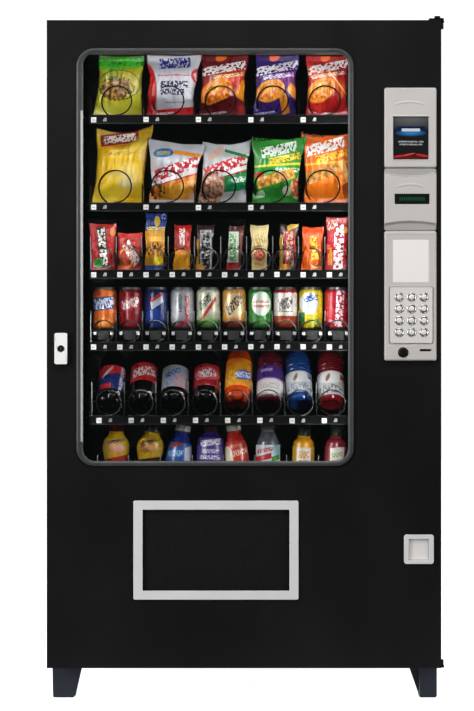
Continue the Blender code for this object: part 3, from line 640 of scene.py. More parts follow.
def bump_between(x, z, centre_x, half_width, base, rise):
    """A crescent between a straight chord at base and an arc rising above it."""
    across = (x - centre_x) / half_width
    if abs(across) >= 1:
        return 0.0
    low = base + rise * 0.62 * (1 - across * across)
    high = base + rise * (1 - across * across)
    lower = smooth_step(low - BUMP_EDGE, low + BUMP_EDGE, z)
    return lower * (1 - smooth_step(high - BUMP_EDGE, high + 3 * BUMP_EDGE, z))


def make_payment_top():
    """Top cover: a picture panel in a raised rim under a crescent bump."""
    low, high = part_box("payment_bezel_top")
    bounds = face_of(low, high)
    depth = high[1] - low[1]
    picture = (low[0] + 0.0229, low[0] + 0.1182, low[2] + 0.0219, low[2] + 0.1364)
    frame_rim = grown(picture, 0.003)
    centre = (low[0] + high[0]) / 2

    def height(x, z):
        value = edge_height(x, z, bounds, 0.0045, depth)
        value += 0.0012 * inside(x, z, frame_rim, 0.0012)
        value -= 0.0062 * inside(x, z, picture)
        value += 0.0016 * bump_between(x, z, centre - 0.002, 0.038, low[2] + 0.168, 0.008)
        return value

    relief("payment_cover_top", bounds, high[1], height, WARM, "door",
           ["payment_bezel_top"])
    mesh = bmesh.new()
    near = high[1] - depth + 0.0035
    x0, x1, z0, z1 = grown(picture, -0.0005)
    add_box(mesh, (x0, near, z0), (x1, near + 0.0012, z1))
    panel = piece("picture_panel", mesh, PICTURE_CARD, "door")
    add_print_map(panel)


def make_payment_middle():
    """Middle cover: a curved band with the display window in it; the recessed bands above and below it are
    painted darker as shade.
    """
    low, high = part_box("payment_bezel_middle")
    bounds = face_of(low, high)
    depth = high[1] - low[1]
    centre = (low[0] + high[0]) / 2
    half = (high[0] - low[0]) / 2
    lens_low, lens_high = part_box("display_lens")
    lens = face_of(lens_low, lens_high)

    def band_edges(x):
        bow = 1 - ((x - centre) / half) ** 2
        return low[2] + 0.0196 + 0.0069 * bow, high[2] - 0.0155 - 0.0106 * bow

    def height(x, z):
        value = edge_height(x, z, bounds, 0.0035, depth)
        bottom, top = band_edges(x)
        value -= 0.0048 * (1 - smooth_step(bottom - 0.007, bottom + 0.0008, z))
        value -= 0.0048 * smooth_step(top - 0.0008, top + 0.007, z)
        value -= 0.0048 * inside(x, z, lens)
        value += 0.0013 * bump_between(x, z, centre, 0.038, lens_high[2] + 0.0165, 0.010)
        value += 0.0013 * bump_between(x, z, centre, 0.038, lens_low[2] - 0.0185, -0.010)
        return value

    # Cells in the curved bands above and below the display get the darker painted-shade grey.
    def pick(x, z):
        bottom, top = band_edges(x)
        return 0 if bottom < z < top else 1

    relief("payment_cover_middle", bounds, high[1], height, [WARM, WARM_PAINTED_SHADE], "door",
           ["payment_bezel_middle"], pick=pick)
    mesh = bmesh.new()
    add_box(mesh, (lens[0], lens_low[1] + 0.0008, lens[2]), (lens[1], lens_high[1], lens[3]))
    glass = piece("display_window", mesh, DISPLAY, "door", ["display_lens"])
    add_print_map(glass)


def make_payment_lower():
    """Lower cover: blank plate, keypad pocket, coin return bore and coin slot."""
    low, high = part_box("payment_bezel_lower")
    bounds = face_of(low, high)
    depth = high[1] - low[1]
    blank = (low[0] + 0.0221, high[0] - 0.0203, low[2] + 0.2086, low[2] + 0.3231)
    pad_low, pad_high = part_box("keypad_plate")
    plate = face_of(pad_low, pad_high)
    pocket = grown(plate, -0.006)
    seam = (plate[0] - 0.0018, plate[1] + 0.0018, plate[2] - 0.0024, plate[3] + 0.0014)
    button = centre_of("coin_return_button")
    slot = (low[0] + 0.095, low[0] + 0.1241, low[2] + 0.0255, low[2] + 0.0299)
    bore_floor = 0.0003
    bore_radius = 0.0127
    upper_field = (low[0] + 0.008, high[0] - 0.008, pad_low[2] - 0.004, high[2] - 0.010)

    def height(x, z):
        value = edge_height(x, z, bounds, 0.005, depth)
        value -= 0.0008 * inside(x, z, upper_field, 0.002)
        value -= 0.0012 * inside(x, z, blank)
        value -= 0.0095 * inside(x, z, pocket)
        value -= 0.0026 * (inside(x, z, seam, 0.0005) - inside(x, z, plate, 0.0005))
        distance = hypot(x - button[0], z - button[1])
        value += 0.0008 * (1 - smooth_step(0.0150, 0.0185, distance))
        value -= (value - bore_floor) * (1 - smooth_step(bore_radius, bore_radius + 0.0009, distance))
        value -= 0.0100 * inside(x, z, slot)
        return value

    def bored(x, z):
        return hypot(x - button[0], z - button[1]) < bore_radius

    relief("payment_cover_lower", bounds, high[1], height, WARM, "door",
           ["payment_bezel_lower"], cell=0.0013, opening=bored)
    mesh = bmesh.new()
    near = low[1] + 0.0009
    add_prism(mesh, rounded(grown(blank, -0.0005), 0.002), near, near + 0.0015)
    piece("blank_plate", mesh, PALE, "door", bevel=0.0003)
    mesh = bmesh.new()
    x0, x1, z0, z1 = grown(slot, -0.0002)
    add_box(mesh, (x0, low[1] + 0.0016, z0), (x1, low[1] + 0.004, z1))
    piece("coin_slot_shadow", mesh, DARK_PLASTIC, "door")


def make_keys():
    """Round metal keys: a raised ring, a groove painted dark as shade, and a shallow dome painted near-white
    as the chrome's reflection.
    """
    for number in range(1, 13):
        name = f"key_{number:02d}"
        low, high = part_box(name)
        radius = (high[0] - low[0]) / 2
        front = low[1]
        profile = [(radius, high[1], 0), (radius, front + 0.0030, 0), (radius * 0.98, front + 0.0014, 0),
                   (radius * 0.94, front + 0.0004, 0), (radius * 0.88, front, 0),
                   (radius * 0.82, front + 0.0005, 0), (radius * 0.79, front + 0.0022, 1),
                   (radius * 0.68, front + 0.0028, 1), (radius * 0.65, front + 0.0022, 1),
                   (radius * 0.63, front + 0.0012, 2), (radius * 0.56, front + 0.0002, 2),
                   (radius * 0.40, front - 0.0005, 2), (radius * 0.20, front - 0.0008, 2),
                   (0.0, front - 0.0009, 2)]
        mesh = add_turned(bmesh.new(), profile, centre_of(name), 40)
        piece(f"metal_{name}", mesh, [KEY_RING, KEY_GROOVE_PAINTED_SHADE, KEY_DOME_PAINTED_SHEEN], name, [name], 35)


def make_lock():
    """T handle with rounded edges, a dark ring and a keyed lock face."""
    low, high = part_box("t_handle")
    centre = centre_of("handle_stem")
    bore = 0.0099
    outline = rounded(face_of(low, high), 0.005, 7)
    hole = ring_points(centre, bore, len(outline))
    turned_hole = hole[len(hole) * 7 // 8:] + hole[:len(hole) * 7 // 8]
    mesh = add_ring_plate(bmesh.new(), outline, turned_hole, low[1], high[1])
    piece("handle_plate", mesh, HANDLE_PAINT, "t_handle", ["t_handle"], bevel=0.0018)
    lock_low, lock_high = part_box("lock_cylinder")
    front = lock_low[1]
    radius = (lock_high[0] - lock_low[0]) / 2
    profile = [(radius, lock_high[1], 0), (radius, front + 0.0006, 0), (radius - 0.0006, front, 0),
               (0.0066, front, 1), (0.0062, front + 0.0012, 1), (0.0, front + 0.0012, 1)]
    mesh = add_turned(bmesh.new(), profile, centre, 40)
    add_box(mesh, (centre[0] - 0.0011, front + 0.0004, centre[1] - 0.0045),
            (centre[0] + 0.0011, front + 0.003, centre[1] + 0.0045), 0)
    piece("lock_face", mesh, [CHROME, DARK_PLASTIC], "lock_cylinder", ["lock_cylinder"], 35)


def make_delivery_bezel():
    """Frame round the delivery flap."""
    low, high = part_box("delivery_bezel")
    flap_low, flap_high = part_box("delivery_flap")
    gap = 0.0014
    outer = rounded(face_of(low, high), 0.0045, 5)
    inner = rounded(grown(face_of(flap_low, flap_high), gap), 0.002, 5)
    mesh = add_ring_plate(bmesh.new(), outer, inner, low[1], high[1])
    piece("delivery_frame", mesh, LIGHT, "door", ["delivery_bezel"], bevel=0.0016)


def make_coin_cup():
    """Coin cup: a flanged shell, and its slightly dished flap."""
    low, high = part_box("coin_cup")
    flap_low, flap_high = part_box("coin_flap")
    gap = 0.0008
    inner_bounds = grown(face_of(flap_low, flap_high), gap)
    outer = rounded(face_of(low, high), 0.007, 6)
    inner = rounded(inner_bounds, 0.0015, 6)
    wall = 0.0025
    shell_outer = rounded(grown(inner_bounds, wall), 0.003, 6)
    flange_back = low[1] + 0.0047
    mesh = add_ring_plate(bmesh.new(), outer, inner, low[1], flange_back)
    add_ring_plate(mesh, shell_outer, inner, flange_back - 0.0002, high[1] - wall)
    add_prism(mesh, shell_outer, high[1] - wall - 0.0001, high[1])
    piece("coin_cup_shell", mesh, LIGHT, "door", ["coin_cup"], bevel=0.0014)
    mesh = bmesh.new()
    rows = 14
    z0, z1 = flap_low[2], flap_high[2]
    loops = []
    for row in range(rows + 1):
        share = row / rows
        z = z0 + (z1 - z0) * share
        dish = 0.0012 * sin(pi * share)
        x0, x1 = flap_low[0], flap_high[0]
        y0, y1 = flap_low[1] + dish, flap_high[1] + dish
        loops.append([(x0, y0, z), (x1, y0, z), (x1, y1, z), (x0, y1, z)])
    close_ends(mesh, add_loops(mesh, loops, False))
    piece("coin_cup_flap", mesh, COIN_FLAP_PAINT, "coin_flap", ["coin_flap"],
          bevel=0.0004)


def make_door_skin():
    """Inner door skin around the window, and the short well that joins it to the glass."""
    low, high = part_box("window_glass")
    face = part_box("door_gasket")[0][1] - 0.0035
    outer = (WRAP_LOW[0] + 0.030, high[0] + 0.030, low[2] - 0.050, high[2] + 0.045)
    inner = grown(face_of(low, high), -0.010)
    mesh = add_ring_plate(bmesh.new(), rounded(outer, 0.012), rounded(inner, 0.020), face, face + 0.0015)
    well_outer = rounded(grown(inner, 0.002), 0.022)
    add_ring_plate(mesh, well_outer, rounded(inner, 0.020), high[1] + 0.001, face)
    piece("door_inner_skin", mesh, INNER_SKIN, "door", bevel=0.0006)


# ---- Rear screws ---------------------------------------------------------------------------
def make_rear_screws():
    """Domed screws round the edge of the rear panel."""
    low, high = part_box("rear_panel")
    mesh = bmesh.new()
    positions = []
    for share in (0.03, 0.27, 0.5, 0.73, 0.97):
        z = low[2] + (high[2] - low[2]) * share
        positions += [(low[0] + 0.012, z), (high[0] - 0.012, z)]
    for share in (0.25, 0.5, 0.75):
        x = low[0] + (high[0] - low[0]) * share
        positions += [(x, low[2] + 0.012), (x, high[2] - 0.012)]
    for centre in positions:
        profile = [(0.0048, high[1] - 0.0005, 0), (0.0048, high[1] + 0.0012, 0),
                   (0.0040, high[1] + 0.0022, 0), (0.0, high[1] + 0.0024, 0)]
        add_turned(mesh, profile, centre, 16)
    piece("rear_screws", mesh, BRIGHT_WIRE, "cabinet")


# ---- Trays: spirals, dividers, labels, motors -------------------------------------------------
RAIL_HEIGHT = 0.0227
MOTOR_WALL = 0.0030
SPIRAL_START = 0.006
SPIRAL_LENGTH = 0.525
CARD_SIDE = 0.0140
TRAYS = (
    {"columns": 5, "radius": 0.0425, "wire": 0.0020, "turns": 6},
    {"columns": 5, "radius": 0.0460, "wire": 0.0021, "turns": 6, "offset": -0.0045},
    {"columns": 10, "radius": 0.0300, "wire": 0.0017, "turns": 11, "guides": 0.088},
    {"columns": 10, "radius": 0.0300, "wire": 0.0017, "turns": 7, "guides": 0.082},
    {"columns": 8, "radius": 0.0350, "wire": 0.0017, "turns": 7, "guides": 0.088, "card": 0.0130,
     "margins": (0.006, 0.006)},
    {"columns": 8, "radius": 0.0350, "wire": 0.0017, "turns": 7, "guides": 0.088, "card": 0.0130,
     "margins": (0.020, 0.004)},
)


class Tray:
    """Where one tray's columns and floor are."""

    def __init__(self, number, facts):
        low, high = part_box(f"tray_{number}")
        self.number = number
        self.body = f"tray_{number}"
        self.left = low[0] + 0.0005
        self.right = high[0] - 0.0005
        self.front = low[1]
        self.back = high[1] - MOTOR_WALL
        self.rail_low = low[2]
        self.floor = low[2] + RAIL_HEIGHT - 0.002
        self.columns = facts["columns"]
        left_margin, right_margin = facts.get("margins", (0.0, 0.0))
        self.first = self.left + left_margin
        self.pitch = (self.right - right_margin - self.first) / self.columns
        self.facts = facts

    def centre(self, column):
        return self.first + (column + 0.5) * self.pitch

    def spiral(self, column):
        """Centre, radius and wire radius of a column's spiral."""
        radius, wire = self.facts["radius"], self.facts["wire"]
        x = self.centre(column) + self.facts.get("offset", 0.0)
        return x, self.floor + radius + wire + 0.001, radius, wire


POINTS_PER_TURN = 28


def spiral_points(x, y, z, radius, turns):
    """A spiral running back from y, starting at its lowest point."""
    points = []
    steps = turns * POINTS_PER_TURN
    for step in range(steps + 1):
        angle = 2 * pi * step / POINTS_PER_TURN - pi / 2
        along = y + SPIRAL_LENGTH * step / steps
        points.append(Vector((x + radius * cos(angle), along, z + radius * sin(angle))))
    return points


def make_spirals(tray):
    """Every column's spiral; the top tray's each turn on their own motor."""
    shared = bmesh.new()
    for column in range(tray.columns):
        x, z, radius, wire = tray.spiral(column)
        points = spiral_points(x, tray.front + SPIRAL_START, z, radius, tray.facts["turns"])
        points.append(Vector((x, points[-1].y + 0.02, z)))
        points.append(Vector((x, tray.back - 0.002, z)))
        if tray.number == 1:
            name = f"coil_{column + 1}"
            mesh = add_tube(bmesh.new(), points, wire)
            piece(f"spiral_1_{column + 1}", mesh, WIRE, name, [name])
        else:
            add_tube(shared, points, wire)
    if tray.number == 1:
        shared.free()
    else:
        look = WIRE if tray.number == 2 else LOW_WIRE
        piece(f"spirals_{tray.number}", shared, look, tray.body)


def make_motors(tray):
    """A vend motor behind every column."""
    mesh = bmesh.new()
    half = min(0.026, tray.pitch / 2 - 0.006)
    for column in range(tray.columns):
        x = tray.centre(column)
        low = (x - half, tray.back - 0.001 + MOTOR_WALL, tray.floor + 0.006)
        high = (x + half, tray.back + MOTOR_WALL + 0.045, tray.floor + 0.080)
        add_box(mesh, low, high)
    piece(f"vend_motors_{tray.number}", mesh, MOTOR, tray.body, bevel=0.002)


def make_labels(tray):
    """A price card and a small column tag under the left side of every column."""
    mesh = bmesh.new()
    rail_top = tray.rail_low + RAIL_HEIGHT
    face = tray.front
    draw = Random(tray.number)
    for column in range(tray.columns):
        x = tray.first + column * tray.pitch + tray.facts.get("card", 0.0045)
        slip = draw.uniform(-0.0006, 0.0006)
        z = rail_top - 0.0055 - CARD_SIDE + slip
        add_box(mesh, (x, face - 0.0010, z), (x + CARD_SIDE, face - 0.0002, z + CARD_SIDE), 0)
        add_box(mesh, (x + 0.003, face - 0.0012, z + 0.0055),
                (x + CARD_SIDE - 0.003, face - 0.0009, z + 0.0075), 2)
        tag = x + 0.032
        add_prism(mesh, [(tag, z + 0.003), (tag + 0.0105, z + 0.003), (tag + 0.0105, z + 0.0125),
                         (tag + 0.004, z + 0.0125)], face - 0.0010, face - 0.0002, 1)
    piece(f"price_cards_{tray.number}", mesh, [LABEL, TAG, CARD_INK], tray.body)
    mesh = bmesh.new()
    edge = [(tray.left, rail_top + 0.0002), (tray.right, rail_top + 0.0002),
            (tray.right, rail_top + 0.0012), (tray.left, rail_top + 0.0012)]
    add_prism(mesh, edge, face - 0.0016, face + 0.0024)
    lip = [(tray.left, tray.rail_low - 0.0006), (tray.right, tray.rail_low - 0.0006),
           (tray.right, tray.rail_low + 0.0012), (tray.left, tray.rail_low + 0.0012)]
    add_prism(mesh, lip, face - 0.0016, face + 0.0006)
    piece(f"rail_edges_{tray.number}", mesh, RAIL_EDGE, tray.body, bevel=0.0004)


def make_divider_wires(tray):
    """Bright wire guides with a hooked top, one at each column wall."""
    height = tray.facts.get("guides")
    if not height:
        return
    mesh = bmesh.new()
    draw = Random(40 + tray.number)
    for column in range(tray.columns + 1):
        x = tray.first + column * tray.pitch
        x = min(max(x, tray.left + 0.003), tray.right - 0.003)
        lean = draw.uniform(-0.0015, 0.0015)
        y = tray.front + 0.010
        top = tray.floor + height
        points = [Vector((x, y, tray.floor)), Vector((x, y, tray.floor + height * 0.5))]
        for step in range(9):
            angle = pi * step / 8
            points.append(Vector((x + lean, y + 0.006 * (1 - cos(angle)), top + 0.006 * sin(angle))))
        points.append(Vector((x + lean, y + 0.012, tray.floor + height * 0.45)))
        points.append(Vector((x + lean, y + 0.30, tray.floor + height * 0.45)))
        add_tube(mesh, points, 0.0011, 6)
    piece(f"divider_wires_{tray.number}", mesh, BRIGHT_WIRE, tray.body)


# ---- Printed packaging ------------------------------------------------------------------------
def add_print_map(made):
    """A flat UV map over a piece's own width and height."""
    data = made.data
    xs = [vertex.co.x for vertex in data.vertices]
    zs = [vertex.co.z for vertex in data.vertices]
    left, low = min(xs), min(zs)
    wide, tall = max(xs) - left, max(zs) - low
    layer = data.uv_layers.new(name="print")
    for loop in data.loops:
        co = data.vertices[loop.vertex_index].co
        layer.data[loop.index].uv = ((co.x - left) / wide, (co.z - low) / tall)


def shape_mask(graph, coordinates, kind, centre, size, angle):
    """1 inside an ellipse or a rectangle of the print, 0 outside."""
    mapping = graph.node("ShaderNodeMapping", vector_type="TEXTURE")
    mapping.inputs["Location"].default_value = (*centre, 0.0)
    mapping.inputs["Rotation"].default_value = (0.0, 0.0, radians(angle))
    mapping.inputs["Scale"].default_value = (*size, 1.0)
    graph.link(coordinates, mapping.inputs["Vector"])
    if kind in ("rect", "marks"):
        flat = graph.node("ShaderNodeVectorMath", operation="ABSOLUTE")
        graph.link(mapping.outputs["Vector"], flat.inputs[0])
        parts = graph.node("ShaderNodeSeparateXYZ")
        graph.link(flat.outputs[0], parts.inputs["Vector"])
        distance = graph.math("MAXIMUM", parts.outputs["X"], parts.outputs["Y"])
    else:
        length = graph.node("ShaderNodeVectorMath", operation="LENGTH")
        graph.link(mapping.outputs["Vector"], length.inputs[0])
        distance = length.outputs["Value"]
    mask = graph.spread(distance, 0.97, 1.03, 1.0, 0.0)
    if kind == "ring":
        mask = graph.math("MULTIPLY", mask, graph.spread(distance, 0.72, 0.78, 0.0, 1.0))
    if kind == "glow":
        mask = graph.spread(distance, 0.2, 1.05, 1.0, 0.0)
    if kind == "marks":
        strokes = graph.node("ShaderNodeTexNoise")
        strokes.inputs["Scale"].default_value = 2.4
        strokes.inputs["Detail"].default_value = 1.0
        shrink = graph.node("ShaderNodeMapping")
        shrink.inputs["Scale"].default_value = (3.0, 0.55, 1.0)
        shrink.inputs["Location"].default_value = (centre[0] * 7.0, centre[1] * 5.0, 0.0)
        graph.link(mapping.outputs["Vector"], shrink.inputs["Vector"])
        graph.link(shrink.outputs["Vector"], strokes.inputs["Vector"])
        mask = graph.math("MULTIPLY", mask, graph.spread(strokes.outputs["Fac"], 0.45, 0.48, 0.0, 1.0))
    if kind == "crumbs":
        grains = graph.node("ShaderNodeTexNoise")
        grains.inputs["Scale"].default_value = 16.0
        grains.inputs["Detail"].default_value = 4.0
        graph.link(coordinates, grains.inputs["Vector"])
        mask = graph.math("MULTIPLY", mask, graph.spread(grains.outputs["Fac"], 0.48, 0.54, 0.0, 1.0))
    return mask


def print_material(name, base, layers, rough=0.28, metal=0.0, crease=0.5, coat=0.3, crease_scale=60.0):
    """Generic printed packaging: flat colour shapes on film or lacquer."""
    graph = Graph(name)
    coordinates = graph.node("ShaderNodeUVMap", uv_map="print").outputs["UV"]
    faded = tuple(0.86 * channel for channel in base)
    colour = graph.blend(graph.spread(graph.noise(24.0, 3.0), 0.3, 0.7, 0.0, 1.0), base, faded)
    for kind, u, v, half_wide, half_tall, angle, tint in layers:
        mask = shape_mask(graph, coordinates, kind, (u, v), (half_wide, half_tall), angle)
        colour = graph.blend(mask, colour, rgb(*tint))
    graph.colour(colour)
    graph.gloss(graph.noise(40.0, 2.0), 0.3, 0.7, rough - 0.06, rough + 0.08)
    if crease:
        graph.bumps((graph.noise(crease_scale, 3.0), crease, 0.0012))
    graph.set(Metallic=metal, Coat_Weight=coat, Coat_Roughness=0.12)
    return graph.material


# name: base colour, then layers of (shape, centre u, centre v, half width, half height, turn, colour)
BAG_PRINTS = {
    "lime": ((176, 180, 36), (
        ("glow", 0.5, 0.25, 0.9, 0.5, 0, (206, 200, 50)), ("rect", 0.5, 0.97, 0.6, 0.15, 0, (60, 132, 40)),
        ("marks", 0.5, 0.85, 0.42, 0.085, 3, (62, 196, 44)),
        ("marks", 0.5, 0.735, 0.38, 0.018, 0, (226, 150, 40)),
        ("ellipse", 0.52, 0.52, 0.40, 0.24, 0, (70, 84, 20)),
        ("ellipse", 0.52, 0.52, 0.38, 0.225, 0, (186, 176, 60)),
        ("ellipse", 0.46, 0.45, 0.28, 0.16, 10, (158, 116, 44)),
        ("crumbs", 0.48, 0.46, 0.34, 0.20, 0, (96, 62, 22)),
        ("ring", 0.40, 0.69, 0.11, 0.075, 0, (40, 150, 52)),
        ("glow", 0.25, 0.12, 0.3, 0.12, 20, (226, 222, 90)))),
    "white_red": ((200, 202, 210), (
        ("ellipse", 0.0, 0.42, 0.20, 0.44, 0, (190, 24, 32)),
        ("rect", 0.5, 0.05, 0.6, 0.10, 4, (190, 24, 32)),
        ("ellipse", 0.96, 0.66, 0.15, 0.12, 0, (206, 26, 34)),
        ("marks", 0.52, 0.86, 0.28, 0.085, 2, (34, 44, 130)),
        ("marks", 0.52, 0.52, 0.26, 0.050, 0, (28, 32, 76)),
        ("marks", 0.48, 0.40, 0.21, 0.050, 0, (28, 32, 76)),
        ("marks", 0.5, 0.66, 0.30, 0.014, 0, (190, 60, 66)),
        ("marks", 0.52, 0.24, 0.18, 0.012, 0, (120, 124, 140)),
        ("marks", 0.95, 0.66, 0.08, 0.06, 20, (220, 214, 226)),
        ("marks", 0.34, 0.06, 0.16, 0.03, 4, (226, 200, 204)))),
    "maroon": ((110, 16, 28), (
        ("glow", 0.6, 0.56, 0.60, 0.24, 12, (206, 48, 26)),
        ("marks", 0.5, 0.78, 0.44, 0.068, 8, (232, 226, 222)),
        ("marks", 0.60, 0.66, 0.30, 0.028, 6, (222, 190, 110)),
        ("ellipse", 0.36, 0.41, 0.33, 0.19, 18, (226, 134, 24)),
        ("rect", 0.90, 0.42, 0.12, 0.15, -32, (230, 140, 30)),
        ("crumbs", 0.40, 0.40, 0.30, 0.15, 18, (190, 74, 14)),
        ("glow", 0.34, 0.46, 0.20, 0.09, 18, (246, 176, 50)),
        ("ellipse", 0.46, 0.97, 0.12, 0.07, 20, (228, 110, 30)),
        ("rect", 0.34, 0.22, 0.34, 0.018, 16, (70, 10, 22)),
        ("marks", 0.3, 0.08, 0.26, 0.016, 5, (220, 190, 190)),
        ("glow", 0.86, 0.16, 0.10, 0.16, -20, (196, 60, 60)))),
    "purple": ((54, 30, 108), (
        ("glow", 0.72, 0.62, 0.4, 0.16, 0, (112, 34, 110)),
        ("marks", 0.52, 0.78, 0.46, 0.068, 8, (230, 226, 234)),
        ("marks", 0.56, 0.65, 0.32, 0.034, 5, (214, 204, 226)),
        ("ellipse", 0.38, 0.42, 0.31, 0.17, 12, (222, 140, 36)),
        ("rect", 0.68, 0.22, 0.08, 0.16, 16, (212, 126, 30)),
        ("rect", 0.86, 0.42, 0.12, 0.08, -40, (214, 130, 34)),
        ("crumbs", 0.38, 0.42, 0.26, 0.13, 14, (186, 86, 22)),
        ("glow", 0.34, 0.46, 0.20, 0.08, 12, (240, 172, 60)),
        ("ellipse", 0.48, 0.97, 0.12, 0.07, 20, (222, 84, 34)),
        ("marks", 0.26, 0.08, 0.22, 0.016, 5, (196, 190, 220)))),
    "scarlet": ((176, 22, 26), (
        ("glow", 0.55, 0.56, 0.7, 0.16, -24, (230, 96, 40)),
        ("marks", 0.5, 0.80, 0.46, 0.070, 8, (236, 230, 228)),
        ("marks", 0.52, 0.675, 0.40, 0.028, 6, (232, 206, 190)),
        ("ellipse", 0.34, 0.43, 0.32, 0.18, 18, (228, 144, 34)),
        ("crumbs", 0.36, 0.43, 0.27, 0.14, 16, (196, 84, 18)),
        ("glow", 0.30, 0.47, 0.20, 0.09, 18, (246, 182, 60)),
        ("rect", 0.76, 0.52, 0.34, 0.012, -42, (240, 206, 110)),
        ("glow", 0.3, 0.17, 0.3, 0.10, 0, (206, 40, 34)),
        ("ellipse", 0.46, 0.97, 0.12, 0.07, 20, (230, 110, 36)),
        ("marks", 0.2, 0.04, 0.16, 0.014, 0, (230, 190, 190)))),
    "yellow": ((226, 184, 20), (
        ("rect", 0.5, 0.98, 0.6, 0.045, 0, (214, 168, 60)),
        ("rect", 0.46, 0.82, 0.31, 0.075, 6, (160, 24, 32)),
        ("marks", 0.46, 0.82, 0.26, 0.050, 6, (238, 232, 222)),
        ("rect", 0.42, 0.715, 0.22, 0.016, 4, (226, 140, 30)),
        ("marks", 0.46, 0.635, 0.24, 0.026, 2, (170, 136, 40)),
        ("glow", 0.52, 0.30, 0.34, 0.20, 20, (222, 202, 120)),
        ("ellipse", 0.30, 0.16, 0.34, 0.13, 24, (240, 206, 40)),
        ("glow", 0.56, 0.27, 0.16, 0.09, 0, (206, 196, 150)),
        ("rect", 0.90, 0.60, 0.10, 0.30, 0, (206, 160, 14)),
        ("glow", 0.72, 0.72, 0.3, 0.1, 30, (248, 214, 70)))),
    "cheddar": ((196, 198, 206), (
        ("rect", 0.45, 0.26, 0.64, 0.24, 0, (222, 132, 26)),
        ("rect", 0.62, 0.53, 0.60, 0.115, 16, (222, 218, 218)),
        ("marks", 0.56, 0.545, 0.44, 0.085, 16, (186, 22, 40)),
        ("rect", 0.62, 0.395, 0.50, 0.010, 14, (186, 24, 40)),
        ("ellipse", 0.28, 0.77, 0.18, 0.072, 4, (34, 118, 180)),
        ("marks", 0.28, 0.77, 0.12, 0.030, 4, (206, 178, 80)),
        ("rect", 0.70, 0.755, 0.24, 0.030, -8, (226, 146, 40)),
        ("ellipse", 0.50, 0.20, 0.28, 0.10, 0, (236, 164, 44)),
        ("crumbs", 0.16, 0.22, 0.16, 0.14, 0, (84, 44, 20)),
        ("marks", 0.74, 0.30, 0.20, 0.05, 10, (240, 178, 90)),
        ("rect", 0.5, 0.03, 0.6, 0.045, 0, (196, 198, 200)),
        ("glow", 0.9, 0.12, 0.2, 0.1, 0, (206, 200, 190)))),
    "basil": ((196, 200, 202), (
        ("rect", 0.74, 0.38, 0.36, 0.17, 4, (14, 128, 70)),
        ("rect", 0.64, 0.58, 0.60, 0.11, 16, (220, 220, 218)),
        ("marks", 0.52, 0.585, 0.42, 0.085, 16, (188, 26, 44)),
        ("rect", 0.62, 0.45, 0.48, 0.010, 14, (186, 26, 42)),
        ("rect", 0.74, 0.77, 0.24, 0.024, -14, (30, 132, 76)),
        ("ellipse", 0.34, 0.78, 0.17, 0.06, 34, (206, 172, 152)),
        ("ellipse", 0.20, 0.20, 0.32, 0.24, 36, (206, 168, 142)),
        ("crumbs", 0.20, 0.22, 0.34, 0.26, 36, (150, 84, 56)),
        ("marks", 0.78, 0.38, 0.16, 0.040, 6, (216, 232, 222)),
        ("crumbs", 0.20, 0.03, 0.22, 0.05, 0, (120, 74, 40)),
        ("rect", 0.80, 0.06, 0.34, 0.15, 12, (176, 182, 182)),
        ("glow", 0.88, 0.14, 0.16, 0.12, 0, (226, 230, 232)))),
    "green": ((38, 126, 44), (
        ("glow", 0.5, 0.5, 0.6, 0.6, 0, (52, 150, 52)),
        ("marks", 0.50, 0.80, 0.32, 0.080, 10, (232, 234, 232)),
        ("marks", 0.60, 0.665, 0.28, 0.050, 10, (234, 184, 40)),
        ("rect", 0.5, 0.575, 0.44, 0.016, 3, (206, 200, 50)),
        ("marks", 0.66, 0.50, 0.26, 0.030, 0, (206, 226, 206)),
        ("rect", 0.44, 0.38, 0.34, 0.075, 14, (214, 166, 66)),
        ("crumbs", 0.44, 0.38, 0.34, 0.08, 14, (166, 106, 36)),
        ("ellipse", 0.84, 0.24, 0.12, 0.15, 0, (180, 60, 40)),
        ("crumbs", 0.84, 0.24, 0.14, 0.16, 0, (220, 170, 110)),
        ("ellipse", 0.64, 0.20, 0.08, 0.07, 0, (196, 198, 170)),
        ("ellipse", 0.14, 0.43, 0.10, 0.04, 0, (196, 70, 40)),
        ("marks", 0.16, 0.15, 0.08, 0.05, 12, (190, 226, 190)),
        ("marks", 0.18, 0.96, 0.18, 0.030, 0, (14, 30, 16)))),
    "orange": ((222, 98, 14), (
        ("glow", 0.5, 0.25, 0.8, 0.4, 0, (240, 124, 24)),
        ("marks", 0.46, 0.79, 0.36, 0.080, 10, (236, 234, 230)),
        ("marks", 0.58, 0.655, 0.30, 0.050, 10, (240, 186, 44)),
        ("rect", 0.5, 0.565, 0.44, 0.016, 3, (240, 176, 40)),
        ("rect", 0.40, 0.42, 0.34, 0.075, 14, (206, 146, 56)),
        ("crumbs", 0.40, 0.42, 0.34, 0.085, 14, (156, 98, 34)),
        ("rect", 0.84, 0.44, 0.05, 0.18, 28, (240, 186, 110)),
        ("rect", 0.90, 0.16, 0.10, 0.14, 20, (150, 66, 20)),
        ("marks", 0.24, 0.955, 0.20, 0.028, -4, (40, 22, 10)))),
}
